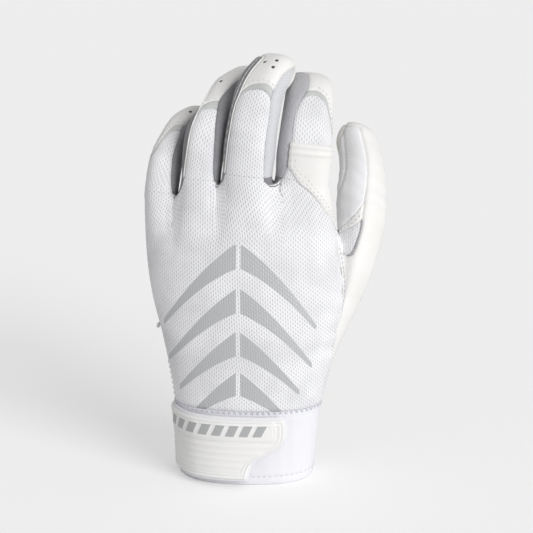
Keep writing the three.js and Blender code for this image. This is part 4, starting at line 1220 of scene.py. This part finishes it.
# %% The three crotches
for a, b in zip(DIGITS[:-1], DIGITS[1:]):
    saddle = lambda q, theta, a=a, b=b: dip_point(a, b, theta, -theta, q, CROTCH_DIP)
    q = np.linspace(0, 1, 24)[None, :] + np.zeros((40, 1))
    theta = np.radians(np.linspace(BACK_SEAM, PALM_SEAM, 40))[:, None] + 0 * q
    base = saddle(q, theta)
    relief = sewn(base, low=SEAM_DROP, top=SEAM_DROP)
    # The crotch cloth is drawn dark grey: painted shade between the fingers.
    crotch = shell(f"{a['name']}_{b['name']}_saddle", saddle, q, theta, FABRIC, WALL_SPANDEX_PAINTED_DEEP_SHADE, relief)
    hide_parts(f"{a['name']}_{b['name']}_crotch")
    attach(crotch, "hand")

# %% [markdown]
# The thumb is built like a sleeve set into the side of the hand: leather over its back from the opening
# to the tip, leather on its pad side, and a soft gusset towards the hand, of open mesh at the foot and
# stretch cloth above.

# %% The thumb's leather and gusset
thumb_end = closed_end(THUMB)
thumb_close = tip_walk(THUMB, TIP_TURNS * HALF)
thumb_back_seam = (lambda w: -np.radians(lerp(along_table(THUMB_SEAM, w), 90,
                                              ease((w - thumb_close + THUMB_SEAM_CLOSE) / THUMB_SEAM_CLOSE))))
thumb_outer_seam = lambda w: seam_angle(THUMB, THUMB_OUTER_SEAM, w)
thumb_crotch_seam = lambda w: seam_angle(THUMB, 0, w) - np.pi
THUMB_BLEND = (THUMB_SPLIT - 8, THUMB_SPLIT + 14)


THUMB_FOLD_PITCH = 7.5
THUMB_FOLD_HEIGHT = 0.22
THUMB_WAVE_PITCH = 15.0
THUMB_WAVE_HEIGHT = 0.3


def thumb_relief(base, share, walk, seed, **edges):
    """Sewn edges, a soft unevenness, and slanted folds near the joint that fade along a bell."""
    bend = np.exp(-((walk - THUMB_SPLIT - 8) / 16) ** 2)
    folds = np.sin((walk + 7 * share) * 2 * np.pi / THUMB_FOLD_PITCH) * bend * hump(share) * THUMB_FOLD_HEIGHT
    waves = ripple(base[..., 0] + base[..., 1], base[..., 2], THUMB_WAVE_PITCH, seed) * THUMB_WAVE_HEIGHT
    return sewn(base, **edges) + waves + folds


theta, walk, share = patch(thumb_back_seam, thumb_outer_seam, wide(0.0), wide(thumb_end), 90, 170)
base = thumb_point(theta, walk)
relief = thumb_relief(base, share, walk, 21, left=SEAM_DROP, right=SEAM_DROP, low=OPENING_DROP)
piece = shell("thumb_leather_back", thumb_point, theta, walk, LEATHER, WHITE_LEATHER, relief)
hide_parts("thumb_base", "thumb_back")
bodies_blend(piece, "thumb", THUMB, *THUMB_BLEND)

pad_to = lambda w: thumb_crotch_seam(w) + 2 * np.pi
theta, walk, share = patch(thumb_outer_seam, pad_to, wide(0.0), wide(thumb_end), 70, 140)
base = thumb_point(theta, walk)
relief = thumb_relief(base, share, walk, 22, left=SEAM_DROP, right=SEAM_DROP, low=OPENING_DROP)
piece = shell("thumb_leather_pad", thumb_point, theta, walk, LEATHER, PALM_LEATHER, relief)
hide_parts("thumb_heel", "thumb_pad")
bodies_blend(piece, "thumb", THUMB, *THUMB_BLEND)

STRIP_SHARE = 0.3
THUMB_FULLNESS = 2.0
thumb_strip_seam = lambda w: np.maximum(-np.radians(along_table(THUMB_STRIP, w)), thumb_crotch_seam(w) + 0.01)
band_start = lambda s: along_table(CORNER_BAND[:, :2], s)
band_stop = lambda s: along_table(CORNER_BAND[:, ::2], s)
gusset_end = float(tip_walk(THUMB, 1.9))
for name, node, left, right, low, high, cloth, rows, slot in (
    ("thumb_mesh_corner", "thumb_corner", thumb_crotch_seam, thumb_back_seam, wide(0.0), band_start,
     KNIT_FINE, 90, "knit_mesh"),
    ("thumb_stitched_band", "", thumb_crotch_seam, thumb_back_seam, band_start, band_stop, WHITE_LEATHER,
     12, "white_leather"),
    ("thumb_side_strip", "thumb_gusset", thumb_crotch_seam, thumb_strip_seam,
     lambda s: band_stop(s * STRIP_SHARE),
     wide(gusset_end), STRIP_SPANDEX, 90, "grey_spandex"),
    ("thumb_stretch_gusset", "thumb_gusset", thumb_strip_seam, thumb_back_seam,
     lambda s: band_stop(lerp(STRIP_SHARE, 1, s)),
     wide(gusset_end), THUMB_SPANDEX, 90, "grey_spandex"),
):
    theta, walk, share = patch(left, right, low, high, 60, rows)
    base = thumb_point(theta, walk)
    edges = dict(left=SEAM_DROP, right=SEAM_DROP, low=OPENING_DROP if node == "thumb_corner" else 0.3)
    edges["top"] = 0.0 if node == "thumb_gusset" else 0.3
    round_share = (theta + np.pi) / (thumb_back_seam(walk) + np.pi)
    fullness = THUMB_FULLNESS * np.exp(-((walk - 66) / 15) ** 2) * np.sin(np.pi * round_share) ** 2
    relief = thumb_relief(base, share, walk, 23, **edges) + fullness
    flat = base[..., [0, 2]] / 100
    piece = shell(name, thumb_point, theta, walk, FABRIC, cloth, relief,
                  uv=flat if node == "thumb_corner" else None)
    if node:
        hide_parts(node)
    bodies_blend(piece, "thumb", THUMB, *THUMB_BLEND)
print("thumb from the opening to the tip", round(thumb_end, 1), "mm")

# %% [markdown]
# At the foot of the index finger lies a second layer of leather, sewn over the mesh as a shield against
# the bat. It crosses the knuckle, so it is one piece here, with two piped ridges at its top.

# %% The overlay of the index finger
index_start, index_stop = TOP_EDGES[-1][-1][2:]
OVERLAY_TOP = 16.5
OVERLAY_FOOT = -25.5


def overlay_point(theta, walk):
    """The finger's tube above its root, and below it the hand, at the same share round."""
    theta, walk = np.broadcast_arrays(np.asarray(theta, float), np.asarray(walk, float))
    share = (theta + np.radians(BACK_SEAM)) / np.radians(BACK_SEAM + 90)
    finger = digit_point(INDEX, theta, np.maximum(walk, -ROOT))
    hand = hand_point(lerp(index_start, index_stop, share), HAND_LENGTH + walk + ROOT, -1)
    return np.where((walk >= -ROOT)[..., None], finger, hand)


OVERLAY_EDGE_SHARES = np.array([[-25.5, 0.97], [-20, 0.82], [-14.5, 0.63], [-6, 0.43], [2, 0.24],
                                [6.5, 0.11], [16.5, 0.11]])
overlay_left = lambda w: np.radians(lerp(-BACK_SEAM, 90, np.interp(w, *OVERLAY_EDGE_SHARES.T)))
overlay_right = lambda w: np.radians(lerp(-BACK_SEAM, 90, 0.99)) + 0 * w
theta, walk, share = patch(overlay_left, overlay_right, wide(OVERLAY_FOOT), wide(OVERLAY_TOP), 60, 110)
base = overlay_point(theta, walk)
ridges = sum(np.exp(-((walk - level) / 0.75) ** 2) for level in (15.3, 12.6)) * 0.55
relief = sewn(base, left=0.45, right=0.45, low=0.45, top=0.3, turn=0.7, pucker=0.06) + ridges
overlay = shell("index_leather_overlay", overlay_point, theta, walk, 0.65, WHITE_LEATHER, relief, lift=0.75)
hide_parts("index_overlay", "index_cap")
bodies_blend(overlay, "index", INDEX, 0, BLEND_END)
print("overlay grid", base.shape)

# %% [markdown]
# The cuff is one band of foam rubber faced with jersey, 2 mm thick, with a turned hem and an overlocked
# seam to the hand. Its slit has a leather binding on both sides and ends under a bar tack.

# %% The cuff and the bindings of its slit
def level_patch(low_at, high_at, bottom, top, cols, rows):
    """Grid of angles and levels with limits that depend on the level."""
    z = np.linspace(bottom, top, rows)[:, None]
    s = np.linspace(0, 1, cols)[None, :]
    return lerp(low_at(z), high_at(z), s), z + 0 * s


cuff_from = lambda z: phi_off(slit_offset(z), z, -1)
cuff_to = lambda z: 2 * np.pi - phi_off(slit_offset(z), z, 1)
psi, level = level_patch(cuff_from, cuff_to, 0.0, CUFF_HEIGHT, 330, 64)
base = wrist_point(psi, level)
_, _, up, down = walked(base)
hem = -0.22 * np.exp(-((up - 4.5) / 0.55) ** 2) - 0.5 * np.exp(-(up / 0.8) ** 2)
soft = ripple(np.cos(psi) * 40 + np.sin(psi) * 30, level, 17.0, 31) * 0.25
relief = (sewn(base, top=SEAM_DROP, turn=1.1, pucker=0.12, pitch=3.0) + hem + soft - 0.25
          * np.exp(-((down - 3.2) / 0.5) ** 2))
cuff = shell("cuff_of_faced_foam", wrist_point, psi, level, NEOPRENE, JERSEY, relief, level=True)
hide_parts("cuff_band")
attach(cuff, "hand")

for name, side in (("slit_binding_back", 1), ("slit_binding_palm", -1)):
    lip = lambda z: SLIT_HALF * (1 - z / SLIT_TOP) + SEAM * HALF
    near = lambda z, side=side: side * phi_off(lip(z), z, -side)
    far = lambda z, side=side: side * phi_off(slit_offset(z) + 0.2, z, -side)
    first, second = (near, far) if side > 0 else (far, near)
    psi, level = level_patch(first, second, 0.0, SLIT_TOP * BINDING_END_SHARE, 16, 90)
    base = wrist_point(psi, level)
    relief = sewn(base, left=0.6, right=0.6, low=0.3, top=0.6, turn=0.9, pucker=0.05)
    piece = shell(name + "_leather", wrist_point, psi, level, BINDING, WHITE_LEATHER, relief, lift=0.25,
                  level=True)
    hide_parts(name)
    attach(piece, "hand")

# %% [markdown]
# A bar tack is a dozen satin stitches wound across a seam's end. Here it is one closed body of
# revolution with a wave for each thread; a curve with a bevel would give the tube but not the threads.

# %% The bar tack
TACK_THREADS = 9
t = np.linspace(0, 1, 121)[1:-1]
along = (t - HALF) * BAR_TACK_LENGTH
swell = (BAR_TACK_RADIUS * np.sqrt(np.clip(1 - (2 * t - 1) ** 6, 0, 1))
         * (0.9 + 0.1 * np.cos(2 * np.pi * TACK_THREADS * t)))
tube = ring_tube(along, 20, swell)
tube = np.concatenate([tube, [[-HALF * BAR_TACK_LENGTH, 0, 0], [HALF * BAR_TACK_LENGTH, 0, 0]]])
quads, tips = tube_faces(len(t), 20, (len(tube) - 2, len(tube) - 1))
tube = tube[:, [2, 0, 1]] * [0.8, 1, 1] + BAR_TACK_PLACE
tack = piece_from("bar_tack_threads", tube, [quads[:, ::-1], tips[:, ::-1]], WHITE_THREAD)
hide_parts("bar_tack")
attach(tack, "hand")
print("bar tack threads", TACK_THREADS)

# %% [markdown]
# The strap lies round the wrist. It is a faced base with a moulded rubber cover; hook tape under its
# end grips loop tape on the cuff. Positions on it are lengths round the wrist, so that ribs and borders
# keep their real sizes.

# %% The strap's own surface
GIRTH_LEVEL = CUFF_HEIGHT * HALF
girth_psi = np.linspace(0, np.pi, 721)
girth_points = wrist_point(girth_psi, GIRTH_LEVEL + 0 * girth_psi)
girth_length = np.concatenate([[0], np.cumsum(np.linalg.norm(np.diff(girth_points, axis=0), axis=1))])


def strap_point(distance, z):
    """The wrist's section at the angle where the girth from the little finger's side reaches the distance."""
    psi = np.sign(distance) * np.interp(np.abs(distance), girth_length, girth_psi)
    return wrist_point(psi, z)


STACK = CLEAR + LOOP + CLEAR + HOOK + CLEAR
strap_lift = lambda distance: lerp(CLEAR, STACK, ease((distance - RAMP_START) / (RAMP_END - RAMP_START)))


def strap_end(z, inset):
    """Reach of the strap at a level: a share of its greatest reach along a smooth curve, less an inset."""
    share = np.clip((z - STRAP_FOOT) / STRAP_HEIGHT, 0, 1)
    return stations(STRAP_END_SHARES, share)[..., 0] * STRAP_REACH - inset


def strap_patch(start, inset, cols, rows):
    """Grid of distances and levels over the strap, between an inset and its curved end."""
    z = np.linspace(STRAP_FOOT + inset, STRAP_FOOT + STRAP_HEIGHT - inset, rows)[:, None]
    s = np.linspace(0, 1, cols)[None, :]
    return lerp(start, strap_end(z, inset), s), z + 0 * s


def placed(piece, body, slot, *nodes):
    """Rides the piece on a body and hides the nodes it stands for; the slot is not used."""
    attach(piece, body)
    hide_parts(*nodes)
    return piece


distance, level = strap_patch(-STRAP_HINGE, 0, 130, 54)
base = strap_point(distance, level)
relief = sewn(base, right=0.35, low=0.35, top=0.35, turn=0.6, pucker=0.0)
strap = shell("strap_base", strap_point, distance, level, STRAP, JERSEY, relief,
              lift=strap_lift(distance) + STRAP, level=True)
placed(strap, "strap", "white_neoprene", "strap")
print("strap reaches", round(float(distance.max()), 1), "mm past the little finger's side")

# %% [markdown]
# The cover is injection-moulded in one shot: a rim, a raised upper band with a row of slanted bars pad-
# printed in silver, and straight ribs below. All of it is one height above the cover, worked out from
# distances to the shapes.

# %% The moulded cover of the strap
BAND_FOOT = 24.2
BAND_TOP = 34.4
BAR_FOOT = 26.9
BAR_TOP = 32.6
BAR_END = 54.4
BAR_PITCH = 6.4
BAR_HALF = 1.9
BAR_SLANT = 0.42
RIB_PITCH = 3.4
RIB_TOP = 21.5


def box_distance(value, low, high):
    """Distance inside a stretch, negative outside it."""
    return np.minimum(value - low, high - value)


def raised(inside, height, slope=0.45):
    """A step of a height whose flank is a smooth step of the distance inside, over a slope's width."""
    return height * ease(inside / slope + HALF)


def cover_relief(distance, z):
    """Sum of the rim, the band with its outline, and the ribs; and the signed distance inside the
    printed bars."""
    end = strap_end(z, COVER_INSET)
    edge = np.minimum(end - distance, box_distance(z, STRAP_FOOT + COVER_INSET,
                                                   STRAP_FOOT + STRAP_HEIGHT - COVER_INSET))
    rim = raised(np.minimum(edge - 0.25, 1.5 - edge), 0.3) + raised(np.minimum(edge - 2.3, 3.1 - edge), 0.25)
    band = np.minimum(box_distance(z, BAND_FOOT, BAND_TOP), end - 4.6 - distance)
    bars = (distance - BAR_SLANT * (z - BAND_FOOT)) / BAR_PITCH
    bar = BAR_HALF - np.abs(bars - np.round(bars)) * BAR_PITCH * 0.92
    bar = np.minimum(bar, box_distance(z, BAR_FOOT, BAR_TOP))
    bar = np.minimum(bar, box_distance(bars * BAR_PITCH, BAR_PITCH * HALF, BAR_END))
    rib = 0.8 - np.abs((z - RIB_TOP) / RIB_PITCH - np.round((z - RIB_TOP) / RIB_PITCH)) * RIB_PITCH
    rib = np.minimum(rib, box_distance(z, STRAP_FOOT + 3.4, RIB_TOP + 1))
    rib = np.minimum(rib, np.minimum(edge - 3.9, distance + 6))
    total = rim + raised(band, 0.45) - raised(np.minimum(band - 0.5, 0.9 - band), 0.2, 0.3)
    return total + raised(bar, 0.3) + raised(rib, 0.22, 1.0), bar


distance, level = strap_patch(-STRAP_HINGE, COVER_INSET, 250, 108)
base = strap_point(distance, level)
height, bar = cover_relief(distance, level)
edges = sewn(base, right=0.5, low=0.5, top=0.5, turn=0.55, pucker=0.0)
cover_lift = strap_lift(distance) + STRAP + 0.05
cover = shell("strap_moulded_cover", strap_point, distance, level, 0.6, TPU, height + edges,
              lift=cover_lift + 0.6,
              level=True, marks={"ink": np.clip(bar, -1, 1) + 2})
placed(cover, "strap", "moulded_cover", "strap_cover")

pad_level = np.linspace(STRAP_FOOT + HOOK_INSET, STRAP_FOOT + STRAP_HEIGHT - HOOK_INSET, 30)[:, None]
share = np.linspace(0, 1, 40)[None, :]
for name, node, start, top, cloth, body in (
    ("strap_hook_tape", "hook_pad", RAMP_END + HOOK_INSET, STACK - 0.1, HOOK_TAPE, "strap"),
    ("cuff_loop_tape", "loop_pad", RAMP_END, CLEAR + LOOP - 0.1, LOOP_TAPE, "hand"),
):
    distance = lerp(start, strap_end(pad_level, HOOK_INSET), share)
    level = pad_level + 0 * share
    base = strap_point(distance, level)
    edges = sewn(base, left=0.2, right=0.2, low=0.2, top=0.2, turn=0.6, pucker=0.0)
    tape = shell(name, strap_point, distance, level, 0.8, cloth, 0.0 if body == "strap" else edges,
                 lift=top, level=True)
    placed(tape, body, "hook_and_loop", node)

level = np.linspace(STRAP_FOOT, STRAP_FOOT + STRAP_HEIGHT, 54)[:, None] + np.zeros((1, 26))
distance = np.linspace(-STRAP_HINGE - STRAP_ROOT, -STRAP_HINGE, 26)[None, :] + 0 * level
base = strap_point(distance, level)
edges = sewn(base, left=0.4, low=0.35, top=0.35, turn=0.6, pucker=0.04)
root = shell("strap_stitched_root", strap_point, distance, level, STRAP, JERSEY, edges, lift=CLEAR + STRAP,
             level=True)
placed(root, "hand", "white_neoprene", "strap_root")
print("cover relief", round(float(height.min()), 2), "to", round(float(height.max()), 2), "mm")

# %% [markdown]
# Thread. Seams of a glove are sewn with bonded polyester; the eye sees short bright dashes in a shallow
# groove. Each seam here is one piece made of one low stitch, repeated.

# %% Stitched seams
def seam_path(surface, u, v, lift, level=False, flip=False):
    """Points on a surface along a line of parameters, lifted off it, and their outward directions."""
    out = normals(surface, u, v, level) * (-1 if flip else 1)
    return surface(u, v) + out * lift, out


# Levels, walks and insets are in mm
OVERLOCK_LEVEL = 37.5
HEM_LEVEL = 4.5
OVERLAY_INSETS = (1.9, 3.9)
THUMB_BASE_WALKS = (4.2, 6.0)
TIP_SEAM_INSET = 1.3
SECOND_PIPING_OFF = 13
PIPING_RADIUS = 0.42
CORNER_PIPING_WALK = (30, 47)
BACK_EDGE_INSET = 2.2
BOX_STITCH = np.array([[-27.5, 5], [-16, 5], [-16, 33], [-27.5, 33], [-27.5, 5], [-16, 33], [-27.5, 33],
                       [-16, 5]])

t = np.linspace(0, 1, 240)
psi = lerp(float(cuff_from(np.array(37.0))) + 0.02, float(cuff_to(np.array(37.0))) - 0.02, t)
for name, tilt in (("cuff_overlock_a", 0.75), ("cuff_overlock_b", -0.75)):
    path, out = seam_path(wrist_point, psi, OVERLOCK_LEVEL + 0 * psi, 0.1, level=True)
    piece = stitches(name, path, out, OVERLOCK_THREAD, length=2.4, gap=0.4, radius=0.15, tilt=tilt)
    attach(piece, "hand")
path, out = seam_path(wrist_point, psi, HEM_LEVEL + 0 * psi, -0.05, level=True)
piece = stitches("cuff_hem_stitches", path, out, WHITE_THREAD)
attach(piece, "hand")

for name, inset in zip(("overlay_stitches_inner", "overlay_stitches_outer"), OVERLAY_INSETS):
    w = np.linspace(OVERLAY_FOOT + 3.5, OVERLAY_TOP - 6, 90)
    share = np.interp(w, *OVERLAY_EDGE_SHARES.T)
    theta = np.radians(lerp(-BACK_SEAM, 90, share)) + inset / 12
    path, out = seam_path(overlay_point, theta, w, 0.72)
    piece = stitches(name, path, out, WHITE_THREAD, length=1.6, gap=0.8, radius=0.22)
    bodies_blend(piece, "index", INDEX, 0, BLEND_END)

for k, d in enumerate(DIGITS):
    surface = lambda theta, walk, d=d: digit_point(d, theta, walk)
    s = np.linspace(0.06, 0.94, 60)
    w = band_edge(k, d, 2)(s) + TIP_SEAM_INSET
    path, out = seam_path(surface, lerp(left_seam(k, d)(w), right_seam(k, d)(w), s), w, 0.02)
    piece = stitches(d["name"] + "_tip_stitches", path, out, WHITE_THREAD, length=1.5, gap=0.8, radius=0.2)
    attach(piece, d["name"])

for k, word, off in ((1, "piping", 0), (2, "piping", 0), (2, "second_piping", SECOND_PIPING_OFF)):
    d = DIGITS[k]
    surface = lambda theta, walk, d=d: digit_point(d, theta, walk)
    w = np.linspace(0.0, d["length"] - 9, 150)
    path, out = seam_path(surface, left_seam(k, d)(w) - np.radians(off), w, -0.15)
    piece = cord_tube(d["name"] + "_" + word, path, PIPING_RADIUS, WHITE_LEATHER, out=out)
    bodies_blend(piece, d["name"], d, 0, BLEND_END)

turns = np.radians(np.linspace(-66, -128, 120))
for word, walk in zip(("inner", "outer"), THUMB_BASE_WALKS):
    path, out = seam_path(thumb_point, turns, walk + 0 * turns, 0.02)
    piece = stitches(f"thumb_base_stitches_{word}", path, out, OVERLOCK_THREAD, length=1.3, gap=1.0,
                     radius=0.14)
    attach(piece, "hand")
for word, part in (("low", 0.3), ("high", 0.72)):
    share = np.linspace(0.05, 0.97, 80)
    w = lerp(band_start(share), band_stop(share), part)
    path, out = seam_path(thumb_point, lerp(thumb_crotch_seam(w), thumb_back_seam(w), share), w, 0.03)
    piece = stitches(f"thumb_band_stitches_{word}", path, out, GREY_THREAD, length=0.9, gap=1.3, radius=0.2)
    bodies_blend(piece, "thumb", THUMB, *THUMB_BLEND)
w = np.linspace(*CORNER_PIPING_WALK, 60)
path, out = seam_path(thumb_point, thumb_back_seam(w), w, -0.05)
piece = cord_tube("thumb_corner_piping", path, 0.45, PIPING_GREY, out=out)
bodies_blend(piece, "thumb", THUMB, *THUMB_BLEND)

turns = np.linspace(-np.pi, np.pi, 260)
path, out = seam_path(thumb_point, turns, 0 * turns, -0.4)
piece = cord_tube("thumb_opening_welt", path, 0.7, WHITE_LEATHER, out=out)
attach(piece, "hand")

z = np.linspace(SLIT_TOP + 2, HAND_LENGTH - 1, 150)
path, out = seam_path(hand_around, 0 * z, z, -0.35)
piece = cord_tube("little_side_welt", path, 0.45, WHITE_LEATHER, out=out)
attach(piece, "hand")

z = np.linspace(THUMB_HOLE_LOW - 14, THUMB_HOLE_HIGH - 4, 150)
edge = panel_limits(z, -1)[1]
path, out = seam_path(hand_around, edge - BACK_EDGE_INSET / 24, z, 0.0)
piece = stitches("back_edge_stitches", path, out, WHITE_THREAD, length=1.3, gap=1.1, radius=0.16)
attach(piece, "hand")

for side, word in ((1, "back"), (-1, "palm")):
    z = np.linspace(2, SLIT_TOP * BINDING_END_SHARE - 2, 120)
    middle = lerp(SLIT_HALF * (1 - z / SLIT_TOP), slit_offset(z), 0.72)
    path, out = seam_path(wrist_point, side * phi_off(middle, z, -side), z, 0.27, level=True)
    piece = stitches(f"binding_stitches_{word}", path, out, WHITE_THREAD, length=1.7, gap=0.9, radius=0.22)
    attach(piece, "hand")

run = np.concatenate([[0], np.cumsum(np.linalg.norm(np.diff(BOX_STITCH, axis=0), axis=1))])
at = np.linspace(0, run[-1], 400)
across, up = np.interp(at, run, BOX_STITCH[:, 0]), np.interp(at, run, BOX_STITCH[:, 1])
path, out = seam_path(strap_point, across, up, CLEAR + STRAP, level=True)
piece = stitches("strap_root_box_stitch", path, out, WHITE_THREAD, length=1.8, gap=0.8, radius=0.22)
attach(piece, "hand")

# %% [markdown]
# The picture's setting: a pale floor without an edge, light from the whole sky, and a soft sun from the
# right in front. The floor and sky show their written colour to the camera and light the glove from all
# round.

# %% Floor, light and camera
# The sun's spread is in degrees; the camera's lens and film are in mm
FLOOR_GLOW = 0.28
SKY_STRENGTH = 0.48
SUN_STRENGTH = 1.9
SUN_SPREAD = 36
SUN_PLACE = np.array((0.68, -0.64, 0.36))
CAMERA_LENS = 108.07
CAMERA_FILM = 36
floor_material, floor_surface = new_material("pale_paper", Roughness=1.0, Base_Color=linear("#E9E9E9"),
                                             Emission_Color=linear("#FFFFFF"))
seen = add(floor_material, "ShaderNodeLightPath").outputs["Is Camera Ray"]
link(floor_material, number(floor_material, "MULTIPLY", seen, FLOOR_GLOW),
     floor_surface.inputs["Emission Strength"])
floor_mesh = bpy.data.meshes.new("floor")
floor_mesh.from_pydata([(-6, -3, 0), (6, -3, 0), (6, 9, 0), (-6, 9, 0)], [], [(0, 1, 2, 3)])
floor_mesh.materials.append(floor_material)
floor = bpy.data.objects.new("floor", floor_mesh)
bpy.context.scene.collection.objects.link(floor)
floor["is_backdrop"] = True

world = bpy.data.worlds.new("studio")
bpy.context.scene.world = world
world.use_nodes = True
sky = world.node_tree.nodes["Background"]
sky.inputs["Color"].default_value = linear("#FFFFFF")
sky.inputs["Strength"].default_value = SKY_STRENGTH

light = bpy.data.lights.new("key", "SUN")
light.energy = SUN_STRENGTH
light.angle = np.radians(SUN_SPREAD)
lamp = bpy.data.objects.new("key", light)
lamp.rotation_mode = "QUATERNION"
lamp.rotation_quaternion = mathutils.Vector(-unit(SUN_PLACE)).to_track_quat("-Z", "Y")
bpy.context.scene.collection.objects.link(lamp)

CAMERA_TARGET = np.array([0.438, -10.395, 105.0])
CAMERA_DISTANCE = 800
CAMERA_TURN, CAMERA_RISE = np.radians(4), np.radians(15)
toward = np.array([np.sin(CAMERA_TURN) * np.cos(CAMERA_RISE), -np.cos(CAMERA_TURN) * np.cos(CAMERA_RISE),
                   np.sin(CAMERA_RISE)])
camera_data = bpy.data.cameras.new("camera")
camera_data.lens = CAMERA_LENS
camera_data.sensor_width = CAMERA_FILM
camera = bpy.data.objects.new("camera", camera_data)
camera.location = (CAMERA_TARGET + CAMERA_DISTANCE * toward) * MM
camera.rotation_mode = "QUATERNION"
camera.rotation_quaternion = mathutils.Vector(-toward).to_track_quat("-Z", "Y")
bpy.context.scene.collection.objects.link(camera)
bpy.context.scene.camera = camera
bpy.context.scene.view_settings.view_transform = "Standard"

# %% Sizes and the last line
low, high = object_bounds()
print("size of the dressed glove", np.round((np.array(high) - np.array(low)) / MM, 1), "mm")
